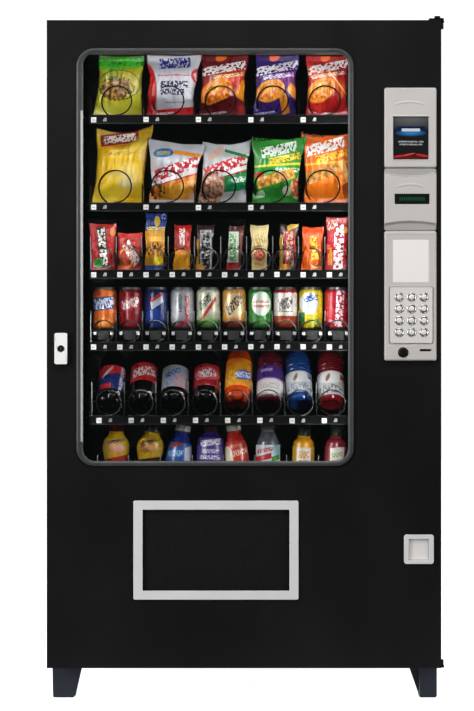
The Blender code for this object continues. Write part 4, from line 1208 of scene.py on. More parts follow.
BAR_PRINTS = {
    "red_bag": ((176, 26, 26), (
        ("rect", 0.50, 0.50, 0.17, 0.44, 10, (44, 26, 22)),
        ("marks", 0.50, 0.50, 0.40, 0.13, 100, (226, 220, 212)),
        ("ellipse", 0.34, 0.16, 0.17, 0.10, 0, (40, 140, 50)),
        ("ellipse", 0.86, 0.82, 0.10, 0.10, 0, (214, 120, 40)),
        ("rect", 0.5, 0.96, 0.6, 0.04, 0, (196, 40, 34)))),
    "coral_bag": ((184, 34, 28), (
        ("ring", 0.36, 0.32, 0.30, 0.27, 0, (226, 150, 80)),
        ("marks", 0.56, 0.46, 0.34, 0.15, 130, (230, 220, 214)),
        ("glow", 0.2, 0.2, 0.3, 0.2, 0, (206, 96, 50)), ("rect", 0.5, 0.95, 0.6, 0.05, 0, (206, 50, 40)))),
    "blue_peanut": ((226, 158, 30), (
        ("rect", 0.5, 0.87, 0.6, 0.19, 0, (28, 56, 140)),
        ("ellipse", 0.56, 0.84, 0.13, 0.09, 0, (206, 176, 50)),
        ("marks", 0.5, 0.715, 0.44, 0.030, 0, (230, 210, 80)),
        ("rect", 0.5, 0.54, 0.4, 0.040, 0, (236, 184, 60)),
        ("crumbs", 0.5, 0.36, 0.46, 0.13, 0, (110, 50, 20)),
        ("ellipse", 0.58, 0.17, 0.24, 0.07, 0, (228, 206, 30)),
        ("rect", 0.5, 0.04, 0.6, 0.05, 0, (40, 66, 150)),
        ("crumbs", 0.84, 0.92, 0.12, 0.05, 0, (200, 210, 236)))),
    "red_amber": ((186, 28, 24), (
        ("rect", 0.5, 0.22, 0.6, 0.24, -4, (228, 154, 24)),
        ("glow", 0.5, 0.47, 0.6, 0.10, 0, (206, 70, 24)),
        ("marks", 0.5, 0.72, 0.20, 0.15, 90, (230, 220, 214)),
        ("rect", 0.12, 0.76, 0.14, 0.22, 0, (150, 20, 22)))),
    "cocoa_silver": ((44, 20, 18), (
        ("rect", 0.55, 0.44, 0.30, 0.43, 0, (160, 162, 166)),
        ("marks", 0.55, 0.44, 0.41, 0.22, 90, (40, 22, 20)),
        ("rect", 0.10, 0.34, 0.10, 0.34, 0, (176, 122, 40)),
        ("ellipse", 0.2, 0.06, 0.3, 0.08, 0, (206, 140, 40)))),
    "mint_bar": ((80, 34, 32), (
        ("rect", 0.36, 0.52, 0.32, 0.34, 0, (196, 214, 186)),
        ("marks", 0.36, 0.52, 0.30, 0.18, 90, (100, 150, 96)),
        ("rect", 0.36, 0.10, 0.34, 0.08, 0, (160, 34, 36)),
        ("rect", 0.88, 0.5, 0.14, 0.4, 0, (110, 62, 58)))),
    "cream_bar": ((226, 208, 146), (
        ("crumbs", 0.42, 0.64, 0.24, 0.14, 0, (214, 170, 84)),
        ("ellipse", 0.50, 0.34, 0.30, 0.13, 0, (206, 112, 80)),
        ("crumbs", 0.50, 0.34, 0.30, 0.13, 0, (160, 66, 44)),
        ("marks", 0.46, 0.13, 0.30, 0.06, 0, (222, 170, 90)))),
    "brown_gold": ((50, 22, 18), (
        ("rect", 0.54, 0.46, 0.28, 0.40, 6, (150, 36, 34)),
        ("marks", 0.54, 0.46, 0.37, 0.17, 96, (214, 170, 150)),
        ("rect", 0.72, 0.95, 0.3, 0.06, 12, (206, 170, 70)),
        ("ellipse", 0.3, 0.06, 0.34, 0.08, 0, (216, 150, 50)),
        ("rect", 0.10, 0.40, 0.08, 0.36, 0, (190, 146, 50)))),
    "tangerine": ((224, 92, 16), (
        ("marks", 0.56, 0.52, 0.27, 0.15, 100, (236, 200, 50)),
        ("ring", 0.66, 0.18, 0.30, 0.12, 0, (236, 176, 40)),
        ("rect", 0.5, 0.92, 0.6, 0.08, 0, (214, 72, 26)),
        ("rect", 0.94, 0.5, 0.05, 0.4, 0, (196, 60, 16)))),
    "fruit_red": ((180, 22, 36), (
        ("marks", 0.56, 0.44, 0.42, 0.20, 86, (236, 230, 230)),
        ("crumbs", 0.30, 0.86, 0.24, 0.10, 20, (226, 190, 170)),
        ("rect", 0.20, 0.26, 0.09, 0.16, 0, (214, 130, 40)),
        ("ellipse", 0.86, 0.74, 0.12, 0.06, 0, (220, 150, 60)))),
}
CAN_PRINTS = {
    "orange_can": ((226, 110, 26), (
        ("rect", 0.42, 0.62, 0.46, 0.15, 4, (30, 50, 120)),
        ("marks", 0.48, 0.62, 0.42, 0.12, 4, (206, 216, 236)),
        ("glow", 0.5, 0.18, 0.5, 0.14, 0, (240, 150, 60)),
        ("ellipse", 0.18, 0.86, 0.2, 0.06, 0, (196, 66, 30)))),
    "maroon_can": ((128, 16, 28), (
        ("ellipse", 0.50, 0.62, 0.42, 0.16, 8, (176, 50, 58)),
        ("marks", 0.50, 0.62, 0.36, 0.10, 8, (230, 216, 218)),
        ("glow", 0.5, 0.16, 0.5, 0.16, 0, (176, 40, 50)))),
    "navy_can": ((20, 36, 96), (
        ("glow", 0.4, 0.2, 0.5, 0.5, 0, (36, 70, 160)),
        ("rect", 0.52, 0.66, 0.26, 0.10, 20, (200, 206, 222)),
        ("rect", 0.50, 0.76, 0.26, 0.045, 20, (190, 50, 44)),
        ("marks", 0.30, 0.26, 0.20, 0.06, 90, (150, 174, 220)))),
    "silver_can": ((160, 164, 170), (
        ("marks", 0.70, 0.46, 0.38, 0.09, 90, (176, 34, 50)),
        ("marks", 0.40, 0.62, 0.20, 0.08, 90, (70, 72, 78)),
        # painted highlight: a tall lighter band down the can's left side
        ("glow", 0.2, 0.4, 0.2, 0.5, 0, (206, 206, 210)),
        ("ellipse", 0.5, 0.16, 0.3, 0.06, 20, (186, 60, 70)))),
    "pale_green_can": ((196, 200, 176), (
        ("rect", 0.5, 0.08, 0.6, 0.17, 0, (44, 128, 50)),
        ("rect", 0.50, 0.48, 0.42, 0.050, 40, (180, 40, 36)),
        ("marks", 0.36, 0.66, 0.26, 0.10, 30, (60, 66, 50)),
        ("glow", 0.5, 0.2, 0.5, 0.16, 0, (110, 170, 70)))),
    "root_can": ((206, 150, 70), (
        ("ellipse", 0.5, 0.56, 0.40, 0.30, 0, (216, 196, 150)),
        ("marks", 0.5, 0.60, 0.36, 0.13, 30, (60, 30, 22)),
        ("rect", 0.5, 0.10, 0.6, 0.12, 0, (120, 50, 26)),
        ("glow", 0.5, 0.24, 0.5, 0.08, 0, (190, 110, 60)))),
    "green_white_can": ((40, 124, 50), (
        ("ellipse", 0.56, 0.62, 0.40, 0.28, 0, (210, 222, 206)),
        ("marks", 0.56, 0.66, 0.32, 0.030, 0, (180, 56, 60)),
        ("marks", 0.56, 0.56, 0.32, 0.030, 0, (180, 56, 60)),
        ("glow", 0.5, 0.2, 0.5, 0.14, 0, (90, 170, 80)))),
    "tomato_can": ((222, 214, 204), (
        ("rect", 0.5, 0.97, 0.6, 0.10, 0, (160, 34, 34)), ("rect", 0.5, 0.14, 0.6, 0.20, 0, (160, 52, 28)),
        ("marks", 0.5, 0.62, 0.30, 0.13, 8, (50, 46, 44)),
        ("rect", 0.5, 0.44, 0.30, 0.012, 0, (90, 120, 70)),
        ("glow", 0.5, 0.20, 0.4, 0.10, 0, (206, 110, 60)))),
    "lemon_can": ((228, 204, 30), (
        ("ellipse", 0.42, 0.62, 0.38, 0.26, 0, (214, 224, 230)),
        ("marks", 0.5, 0.74, 0.30, 0.07, 6, (36, 70, 150)),
        ("rect", 0.12, 0.30, 0.12, 0.12, 0, (30, 110, 60)),
        ("glow", 0.66, 0.20, 0.34, 0.14, 0, (150, 180, 40)))),
    "rose_can": ((176, 26, 42), (
        ("marks", 0.62, 0.50, 0.42, 0.16, 84, (232, 214, 218)),
        # painted highlight: a tall lighter band down the can's left side
        ("glow", 0.2, 0.4, 0.2, 0.5, 0, (206, 60, 76)),
        ("rect", 0.36, 0.20, 0.20, 0.03, -10, (214, 170, 178)))),
}
PICTURE_CARD = print_material("picture_card", rgb(24, 25, 27), (
    ("glow", 0.5, 1.0, 0.9, 0.34, 0, (96, 97, 98)), ("rect", 0.5, 0.67, 0.40, 0.105, 0, (10, 26, 60)),
    ("glow", 0.5, 0.62, 0.44, 0.08, 0, (44, 126, 190)),
    ("rect", 0.5, 0.69, 0.26, 0.034, 0, (206, 212, 218)),
    ("marks", 0.5, 0.415, 0.36, 0.018, 0, (176, 178, 180)),
    ("marks", 0.5, 0.35, 0.32, 0.018, 0, (176, 178, 180)),
    ("glow", 0.5, 0.0, 0.8, 0.12, 0, (110, 16, 18)),
    ("ellipse", 0.16, 0.075, 0.16, 0.026, 8, (180, 40, 40)),
    ("ellipse", 0.44, 0.115, 0.18, 0.022, 10, (206, 66, 62)),
    ("ellipse", 0.82, 0.095, 0.20, 0.026, -8, (186, 42, 42)),
    ("rect", 0.5, 0.0, 0.8, 0.02, 0, (24, 10, 10))), rough=0.12, crease=0.0)


def make_prints(prints, prefix, **facts):
    """One print material for each entry of a table."""
    return {name: print_material(f"{prefix}_{name}", rgb(*base), layers, **facts)
            for name, (base, layers) in prints.items()}


BAG_FILMS = make_prints(BAG_PRINTS, "film", crease=0.45, crease_scale=26.0)
BAR_FILMS = make_prints(BAR_PRINTS, "wrap", crease=0.4, crease_scale=70.0)
CAN_FILMS = make_prints(CAN_PRINTS, "lacquer", rough=0.28, metal=0.15, crease=0.0)


# ---- Bags and bars ------------------------------------------------------------------------------
WIRE_REACH = 0.008
WIRE_GAP = 0.003


def wire_depth(tray, column, x, z):
    """Depth of a spiral's first turn near a point, and how fully it counts there; or None."""
    centre_x, centre_z, radius, _ = tray.spiral(column)
    dx = x - centre_x
    dz = z - centre_z
    away = abs(hypot(dx, dz) - radius)
    if away > WIRE_REACH:
        return None
    angle = (Vector((dx, dz)).angle_signed(Vector((0.0, -1.0))) / (2 * pi)) % 1.0
    depth = SPIRAL_START + angle * SPIRAL_LENGTH / tray.facts["turns"]
    return depth, 1 - smooth_step(0.002, WIRE_REACH, away)


def make_bag(tray, column, film, size, shift, lean, slope=0.0, curl=0.008, back=0.078, crimp=0.012,
             waist=0.10, seed=1, name="bag"):
    """A filled pillow pack: flat crimped ends, a full belly and creases running from the seals."""
    foot_width, top_width, height, thick = size
    columns, rows = 38, 54
    base_x = tray.centre(column) + shift
    sway = tan(radians(lean)) * height
    sides = {}
    mesh = bmesh.new()
    for side in (-1, 1):
        for row in range(rows + 1):
            v = row / rows
            seal = crimp / height
            fill = smooth_step(0.0, 0.30, v - seal) * smooth_step(0.0, 0.26, 1 - v - seal)
            near_seal = 1 - smooth_step(0.02, 0.40, min(v, 1 - v))
            flat_crimp = (1 - fill) * (min(v, 1 - v) * height < crimp)
            half = (foot_width + (top_width - foot_width) * v) / 2 * (1 - waist * fill)
            for step in range(columns + 1):
                u = 2 * step / columns - 1
                edge = max(0.0, 1 - abs(u) ** 2.6) ** 0.62
                swell = noise.noise(Vector((u * 5.0 + seed, v * 1.6, seed * 3.1)))
                swell += 0.5 * noise.noise(Vector((u * 11.0, v * 5.0 + seed, 7.0)))
                fold = 1 - abs(noise.noise(Vector((u * 2.6 + seed, v * 3.4, seed * 1.7 + side))))
                depth = thick / 2 * fill * edge * (1 + 0.30 * swell) - 0.0040 * fill * edge * fold ** 9
                pucker = noise.noise(Vector((u * 16.0, seed, 2.0)))
                depth += 0.0050 * near_seal * (1 - abs(u)) * pucker * fill
                depth += 0.0011 * sin(v * height / 0.0016) * flat_crimp
                x = half * u + 0.004 * noise.noise(Vector((v * 4.0, seed, side))) + sway * v
                rise = curl * (u * u - 0.4) * smooth_step(0.75, 1.0, v)
                rise += 0.3 * curl * noise.noise(Vector((u * 2.0, seed, v)))
                z = v * (height + slope * half * u) + rise * smooth_step(0.0, 0.1, v)
                y = back + side * max(depth, 0.0003) + 0.006 * noise.noise(Vector((v * 3.0, seed, u)))
                if side < 0:
                    found = wire_depth(tray, column, base_x + x, tray.floor + z)
                    if found and y < found[0] + WIRE_GAP < y + 0.010:
                        y += (found[0] + WIRE_GAP - y) * found[1]
                on_edge = row in (0, rows) or step in (0, columns)
                if side > 0 and on_edge:
                    sides[side, row, step] = sides[-1, row, step]
                    continue
                place = (base_x + x, tray.front + y, tray.floor + 0.0015 + z)
                sides[side, row, step] = mesh.verts.new(place)
        for row in range(rows):
            for step in range(columns):
                corners = [sides[side, row, step], sides[side, row, step + 1],
                           sides[side, row + 1, step + 1], sides[side, row + 1, step]]
                mesh.faces.new(corners if side < 0 else corners[::-1])
    made = piece(f"{name}_{tray.number}_{column + 1}", mesh, film, tray.body, smooth=180)
    add_print_map(made)


# tray, column, film, (width at the foot, width at the top, height, thickness), shift, lean, slope, curl
BAGS = (
    (0, 0, "lime", (0.143, 0.126, 0.174, 0.050), 0.001, 4.1, 0.0, 0.003),
    (0, 1, "white_red", (0.131, 0.152, 0.174, 0.052), 0.002, 4.3, 0.0, 0.003),
    (0, 2, "maroon", (0.131, 0.131, 0.174, 0.050), 0.004, 2.4, 0.0, 0.003),
    (0, 3, "purple", (0.122, 0.120, 0.174, 0.048), 0.006, 2.6, 0.0, 0.003),
    (0, 4, "scarlet", (0.119, 0.121, 0.174, 0.048), 0.008, 1.0, 0.0, 0.003),
    (1, 0, "yellow", (0.143, 0.159, 0.209, 0.054), 0.000, 5.6, 0.05, 0.018),
    (1, 1, "cheddar", (0.125, 0.157, 0.173, 0.050), 0.008, 4.0, -0.117, 0.006),
    (1, 2, "basil", (0.136, 0.136, 0.172, 0.050), 0.003, 5.2, 0.05, 0.012),
    (1, 3, "green", (0.126, 0.153, 0.185, 0.050), 0.006, 4.0, 0.0, 0.008),
    (1, 4, "orange", (0.127, 0.147, 0.197, 0.050), 0.008, 0.4, -0.03, 0.008),
)
# column, film, (width at the foot, width at the top, height, thickness), shift, lean
BARS = (
    (0, "red_bag", (0.066, 0.075, 0.129, 0.022), -0.0015, 0.0),
    (1, "coral_bag", (0.064, 0.069, 0.103, 0.024), -0.003, 3.0),
    (2, "blue_peanut", (0.052, 0.059, 0.160, 0.022), -0.0025, 1.3),
    (3, "red_amber", (0.046, 0.046, 0.125, 0.020), 0.0015, 1.0),
    (4, "cocoa_silver", (0.046, 0.047, 0.126, 0.016), -0.0095, 2.4),
    (5, "mint_bar", (0.040, 0.041, 0.123, 0.018), 0.0, 4.3),
    (6, "cream_bar", (0.042, 0.050, 0.125, 0.018), -0.001, 0.3),
    (7, "brown_gold", (0.045, 0.052, 0.128, 0.018), 0.0045, 2.7),
    (8, "tangerine", (0.058, 0.059, 0.120, 0.018), 0.0, 1.9),
    (9, "fruit_red", (0.058, 0.062, 0.148, 0.024), -0.005, 1.9),
)


def stock_bags(trays):
    """Fill trays 1 and 2 with bags, and tray 3 with bars."""
    for row, column, film, size, shift, lean, slope, curl in BAGS:
        back = 0.074 if column % 2 else 0.082
        make_bag(trays[row], column, BAG_FILMS[film], size, shift, lean, slope, curl, back,
                 seed=3 + 5 * row + column)
    for column, film, size, shift, lean in BARS:
        make_bag(trays[2], column, BAR_FILMS[film], size, shift, lean, curl=0.003, back=0.034,
                 crimp=0.008, waist=0.05, seed=20 + column, name="bar")


# ---- Cans ---------------------------------------------------------------------------------------
CAN_RISE = 0.0348
CAN_RADIUS = 0.0330
CAN_BACK = 0.081
CAN_NAMES = ("orange_can", "maroon_can", "navy_can", "silver_can", "pale_green_can", "root_can",
             "green_white_can", "tomato_can", "lemon_can", "rose_can")


def make_can(tray, column, film):
    """A drinks can: necked lid, printed wall and domed foot."""
    profile = [(0.0, 0.010, 1), (0.020, 0.004, 1), (0.0235, 0.0004, 1), (0.0250, 0.0, 1),
               (0.0262, 0.0010, 1), (0.0300, 0.0068, 1), (0.0322, 0.0100, 0),
               (CAN_RADIUS, 0.0125, 0), (CAN_RADIUS, 0.060, 0), (CAN_RADIUS, 0.1020, 0),
               (0.0322, 0.1062, 0), (0.0296, 0.1126, 0), (0.0274, 0.1166, 1), (0.0276, 0.1190, 1),
               (0.0268, 0.1202, 1), (0.0250, 0.1192, 1), (0.0240, 0.1150, 1), (0.0, 0.1152, 1)]
    mesh = add_turned(bmesh.new(), profile, (0.0, 0.0), 48, axis="Z")
    tab = [(-0.007, 0.004), (0.007, 0.004), (0.006, -0.016), (-0.006, -0.016)]
    lower = [mesh.verts.new((x, y, 0.1156)) for x, y in tab]
    upper = [mesh.verts.new((x, y, 0.1166)) for x, y in tab]
    mesh.faces.new(upper).material_index = 1
    for index in range(4):
        after = (index + 1) % 4
        mesh.faces.new((lower[index], lower[after], upper[after], upper[index])).material_index = 1
    shift = min(0.0018, 0.0070 - 0.0010 * column)
    place = (tray.centre(column) + shift, tray.front + CAN_BACK, tray.floor + CAN_RISE)
    made = piece(f"can_{column + 1}", mesh, [film, CAN_METAL], tray.body, smooth=40, at=place)
    add_print_map(made)


def make_risers(tray):
    """Stands that lift the cans clear of their spirals, with pale end blocks."""
    mesh = bmesh.new()
    for column in range(tray.columns):
        x = tray.centre(column) + 0.001
        top = tray.floor + CAN_RISE - 0.0005
        far = tray.front + 0.3
        add_box(mesh, (x - 0.0155, tray.front + 0.020, tray.floor + 0.009), (x + 0.0155, far, top), 0)
        add_box(mesh, (x - 0.0250, tray.front + 0.022, top - 0.004), (x + 0.0250, far, top), 0)
        for side in (-1, 1):
            middle = x + side * 0.0232
            add_box(mesh, (middle - 0.0045, tray.front + 0.018, top - 0.0120),
                    (middle + 0.0045, tray.front + 0.028, top - 0.0030), 1)
    piece("can_risers", mesh, [RISER, RISER_WHITE], tray.body, bevel=0.0007)


# ---- Bottles --------------------------------------------------------------------------------------
# body outlines: (share of the height, share of the radius), up to the foot of the neck
BOTTLE_FORMS = {
    "soda": ((0.0, 1.0), (0.566, 1.0), (0.68, 0.97), (0.793, 0.84), (0.906, 0.58)),
    "juice": ((0.0, 1.0), (0.68, 1.0), (0.793, 0.95), (0.895, 0.74)),
    "ribbed": ((0.0, 1.0), (0.51, 1.0), (0.691, 1.0), (0.782, 0.94), (0.872, 0.78)),
    "egg": ((0.0, 0.84), (0.20, 0.90), (0.38, 0.82), (0.47, 0.87), (0.56, 0.97), (0.64, 1.0), (0.72, 0.95),
            (0.79, 0.80)),
    "bell": ((0.0, 0.96), (0.30, 1.0), (0.50, 1.0), (0.66, 0.92), (0.745, 0.78)),
    "round": ((0.0, 0.95), (0.20, 0.98), (0.50, 1.0), (0.66, 0.99), (0.76, 0.93), (0.82, 0.82)),
    "drop": ((0.0, 0.97), (0.30, 1.0), (0.60, 1.0), (0.67, 0.98), (0.755, 0.88)),
    "flask": ((0.0, 0.98), (0.30, 1.0), (0.62, 1.0), (0.70, 0.97), (0.75, 0.88)),
}


def follow(curve, share):
    """A smooth line through (share, value) points."""
    index = 0
    while index < len(curve) - 2 and share > curve[index + 1][0]:
        index += 1
    (start, low), (end, high) = curve[index], curve[index + 1]
    before, after = curve[max(index - 1, 0)], curve[min(index + 2, len(curve) - 1)]
    span = end - start
    leave = span * (high - before[1]) / (end - before[0])
    arrive = span * (after[1] - low) / (after[0] - start)
    part = min(max((share - start) / span, 0.0), 1.0)
    square, cube = part ** 2, part ** 3
    return ((2 * cube - 3 * square + 1) * low + (cube - 2 * square + part) * leave
            + (3 * square - 2 * cube) * high + (cube - square) * arrive)


def bottle_profile(height, radius, form, neck, cap, label, foot, crown):
    """Profile of a drinks bottle; material 0 is the drink, 1 the label and 2 the cap."""
    low, high = label
    collar = height - crown
    curve = BOTTLE_FORMS[form] + ((collar / height, neck / radius),)
    base = radius * curve[0][1]
    points = [(0.0, 0.010, 0), (base * 0.45, 0.004, 0), (base * 0.66, 0.0, 0)]
    for step in range(1, 7):
        angle = step / 6 * pi / 2
        points.append((base - foot + foot * sin(angle), foot * (1 - cos(angle)) + 0.0002 * step, 0))
    start = foot + 0.002
    levels = sorted([start + (collar - start) * step / 60 for step in range(61)]
                    + [low * height - 0.0004, low * height, high * height, high * height + 0.0004])
    for level in levels:
        if level < start:
            continue
        share = level / height
        on_label = low <= share <= high
        width = radius * follow(curve, share)
        if form == "ribbed" and high < share < 0.79:
            width -= 0.0020 * (0.5 + 0.5 * cos(level / 0.0014))
        points.append((width - (0.0 if on_label else 0.0006), level, 1 if on_label else 0))
    points += [(neck, collar + 0.003, 0), (neck + 0.003, collar + 0.0045, 0), (neck, collar + 0.006, 0),
               (cap, collar + 0.0065, 2), (cap, height - 0.002, 2), (cap - 0.0016, height, 2),
               (0.0, height, 2)]
    return points


def make_bottle(name, tray, place, shape, materials, lean, lobes=0.0):
    """A bottle leaning back and sideways; lobes is how deep the foot's grooves are."""
    profile = bottle_profile(*shape)
    mesh = add_turned(bmesh.new(), profile, (0.0, 0.0), 60, axis="Z")
    height, radius, crown = shape[0], shape[1], shape[7]
    for vertex in mesh.verts:
        co = vertex.co
        away = hypot(co.x, co.y)
        if lobes and co.z < 0.030 and away > 0.25 * radius:
            around = Vector((co.x, co.y)).angle_signed(Vector((0.0, 1.0)))
            groove = (0.5 + 0.5 * cos(5 * around)) ** 3 * (1 - smooth_step(0.010, 0.030, co.z))
            co.z += lobes * groove * smooth_step(0.25 * radius, 0.7 * radius, away)
            co.x *= 1 - 0.10 * groove
            co.y *= 1 - 0.10 * groove
        if co.z > height - crown + 0.007:
            ridge = 1 + 0.02 * cos(20 * Vector((co.x, co.y)).angle_signed(Vector((0.0, 1.0)), 0.0))
            co.x *= ridge
            co.y *= ridge
    made = piece(name, mesh, materials, tray.body, smooth=50, at=place,
                 turn=(radians(-lean[0]), radians(lean[1]), 0.0))
    add_print_map(made)


def drink(name, colour, rough=0.07):
    """A plain glossy body colour for a bottle."""
    return print_material(name, rgb(*colour), (), rough=rough, crease=0.0, coat=0.6)


def label(name, colour, layers, shape):
    """A bottle label: its layers are laid out over the label's own height."""
    low, high = shape[5]
    fitted = [(kind, u, low + v * (high - low), half_wide, half_tall * (high - low), turn, tint)
              for kind, u, v, half_wide, half_tall, turn, tint in layers]
    return print_material(name, rgb(*colour), fitted, rough=0.3, crease=0.0)


# form, shift, side lean, drink colour, label span, base lobes, label colour, label layers
TALL_BOTTLES = (
    ("soda", 0.0032, 2.0, (8, 6, 6), (0.170, 0.578), 0.006, (24, 40, 104), (
        ("rect", 0.5, 0.92, 0.8, 0.30, 6, (196, 28, 36)),
        ("rect", 0.34, 0.70, 0.22, 0.06, 24, (206, 212, 224)),
        ("rect", 0.28, 0.10, 0.2, 0.12, 0, (190, 30, 38)),
        ("marks", 0.86, 0.36, 0.30, 0.14, 80, (196, 206, 226)))),
    ("soda", 0.0032, 2.0, (8, 5, 5), (0.317, 0.634), 0.006, (180, 20, 28), (
        ("marks", 0.52, 0.50, 0.42, 0.24, 4, (230, 206, 206)),
        ("rect", 0.5, 0.98, 0.8, 0.06, 0, (150, 14, 22)))),
    ("soda", 0.0027, 2.5, (8, 6, 6), (0.204, 0.578), 0.006, (150, 160, 172), (
        ("marks", 0.42, 0.66, 0.28, 0.13, 10, (50, 80, 150)),
        ("crumbs", 0.7, 0.3, 0.4, 0.3, 0, (190, 120, 130)),
        ("crumbs", 0.3, 0.2, 0.3, 0.2, 30, (110, 130, 170)))),
    ("soda", 0.0027, 2.5, (9, 5, 6), (0.227, 0.600), 0.006, (150, 16, 30), (
        ("marks", 0.5, 0.56, 0.36, 0.20, 6, (226, 210, 212)),
        ("ring", 0.5, 0.56, 0.46, 0.30, 0, (196, 80, 90)))),
    ("juice", 0.0020, 3.0, (206, 66, 12), (0.227, 0.702), 0.007, (226, 150, 28), (
        ("rect", 0.2, 0.90, 0.4, 0.12, 10, (236, 120, 24)),
        ("ellipse", 0.66, 0.40, 0.34, 0.18, 4, (60, 96, 180)),
        ("marks", 0.66, 0.40, 0.28, 0.11, 4, (214, 224, 240)),
        ("crumbs", 0.2, 0.3, 0.2, 0.3, 0, (240, 190, 60)))),
    ("ribbed", 0.0038, 1.5, (96, 18, 36), (0.068, 0.578), 0.0, (206, 202, 200), (
        ("rect", 0.5, 0.80, 0.8, 0.22, 0, (66, 34, 112)),
        ("marks", 0.36, 0.84, 0.22, 0.05, 0, (180, 160, 210)),
        ("marks", 0.5, 0.30, 0.36, 0.10, 0, (170, 166, 170)),
        ("rect", 0.5, 0.56, 0.8, 0.02, 0, (120, 90, 150)))),
    ("ribbed", 0.0, -3.0, (18, 60, 124), (0.113, 0.476), 0.0, (176, 182, 188), (
        ("ellipse", 0.5, 0.72, 0.46, 0.26, 0, (206, 208, 210)),
        ("ellipse", 0.38, 0.70, 0.10, 0.12, 30, (150, 110, 80)),
        ("crumbs", 0.5, 0.24, 0.5, 0.2, 0, (110, 120, 130)),
        ("rect", 0.92, 0.8, 0.08, 0.12, 0, (80, 110, 160)))),
    ("ribbed", -0.001, -1.0, (110, 14, 22), (0.068, 0.476), 0.0, (186, 186, 186), (
        ("ellipse", 0.5, 0.74, 0.46, 0.26, 0, (212, 212, 212)),
        ("ellipse", 0.38, 0.72, 0.10, 0.12, 30, (140, 96, 70)),
        ("crumbs", 0.4, 0.24, 0.5, 0.2, 0, (96, 96, 98)),
        ("rect", 0.92, 0.8, 0.08, 0.12, 0, (150, 60, 66)))),
)
# form, shift, side lean, height, radius, neck radius, cap radius, crown height, label span,
# body colour, cap colour, label colour, label layers
SHORT_BOTTLES = (
    ("egg", 0.001, 2.0, 0.172, 0.0368, 0.0205, 0.0200, 0.024, (0.40, 0.78), (222, 184, 26), (90, 22, 26),
     (224, 186, 40), (
        ("marks", 0.5, 0.90, 0.34, 0.07, 6, (44, 40, 96)),
        ("crumbs", 0.5, 0.56, 0.40, 0.26, 0, (216, 140, 110)),
        ("ellipse", 0.62, 0.60, 0.20, 0.16, 0, (226, 160, 140)),
        ("rect", 0.5, 0.06, 0.8, 0.16, 6, (176, 40, 34)))),
    ("egg", 0.002, 6.0, 0.172, 0.0368, 0.0215, 0.0215, 0.024, (0.40, 0.78), (222, 184, 26), (22, 20, 44),
     (224, 184, 36), (
        ("marks", 0.5, 0.90, 0.34, 0.07, 10, (44, 40, 96)),
        ("crumbs", 0.40, 0.60, 0.36, 0.24, 0, (190, 110, 60)),
        ("ellipse", 0.60, 0.62, 0.20, 0.13, 0, (216, 160, 100)),
        ("rect", 0.5, 0.04, 0.8, 0.14, 6, (70, 30, 24)))),
    ("bell", -0.0075, 9.0, 0.173, 0.0345, 0.0185, 0.0205, 0.022, (0.36, 0.72), (24, 42, 128),
     (208, 208, 196), (40, 90, 170), (
        ("ellipse", 0.36, 0.92, 0.30, 0.12, 8, (150, 60, 50)),
        ("marks", 0.36, 0.50, 0.30, 0.14, 4, (150, 190, 226)),
        ("rect", 0.90, 0.40, 0.16, 0.5, 14, (190, 200, 214)))),
    ("round", 0.0035, 2.0, 0.168, 0.0380, 0.0190, 0.0185, 0.020, (0.40, 0.82), (54, 36, 116), (62, 30, 26),
     (70, 50, 130), (
        ("marks", 0.5, 0.80, 0.36, 0.12, 4, (214, 208, 226)),
        ("marks", 0.5, 0.46, 0.34, 0.08, 0, (196, 190, 214)),
        ("marks", 0.5, 0.22, 0.38, 0.08, 0, (206, 200, 222)))),
    ("bell", 0.002, -6.0, 0.173, 0.0335, 0.0190, 0.0200, 0.022, (0.36, 0.74), (190, 30, 24), (206, 200, 186),
     (190, 56, 36), (
        ("ellipse", 0.16, 0.30, 0.20, 0.50, -30, (222, 206, 176)),
        ("marks", 0.66, 0.52, 0.30, 0.12, 4, (226, 180, 160)),
        ("marks", 0.56, 0.82, 0.24, 0.06, 4, (214, 130, 110)))),
    ("drop", -0.0065, 0.0, 0.172, 0.0335, 0.0190, 0.0200, 0.018, (0.36, 0.68), (92, 94, 104), (84, 74, 80),
     (204, 212, 216), (
        ("ellipse", 0.86, 0.72, 0.26, 0.30, 0, (150, 196, 206)),
        ("marks", 0.40, 0.74, 0.34, 0.10, 4, (180, 40, 50)),
        ("rect", 0.30, 0.36, 0.34, 0.14, 6, (176, 36, 46)),
        ("rect", 0.80, 0.34, 0.16, 0.12, 6, (60, 140, 60)))),
    ("flask", 0.002, 2.0, 0.170, 0.0305, 0.0178, 0.0176, 0.034, (0.36, 0.66), (214, 150, 20), (22, 38, 26),
     (216, 160, 40), (
        ("rect", 0.5, 0.44, 0.32, 0.50, 0, (226, 220, 204)),
        ("marks", 0.5, 0.56, 0.24, 0.20, 0, (206, 150, 60)),
        ("marks", 0.5, 0.16, 0.24, 0.10, 0, (150, 80, 40)))),
    ("flask", 0.003, 3.0, 0.170, 0.0305, 0.0178, 0.0176, 0.034, (0.36, 0.66), (126, 32, 44), (22, 38, 26),
     (130, 40, 52), (
        ("rect", 0.56, 0.46, 0.32, 0.50, 4, (226, 220, 212)),
        ("marks", 0.56, 0.56, 0.24, 0.12, 4, (120, 160, 70)),
        ("marks", 0.56, 0.20, 0.24, 0.10, 4, (150, 60, 60)))),
)


TALL_HEIGHT = 0.188
TALL_RADIUS = 0.0372
TALL_CROWN = 0.014
TALL_LEAN = 34.0
TALL_PLACE = (0.072, 0.031)
SHORT_FOOT = 0.008
SHORT_LEAN = 2.0
SHORT_PLACE = (0.081, 0.003)


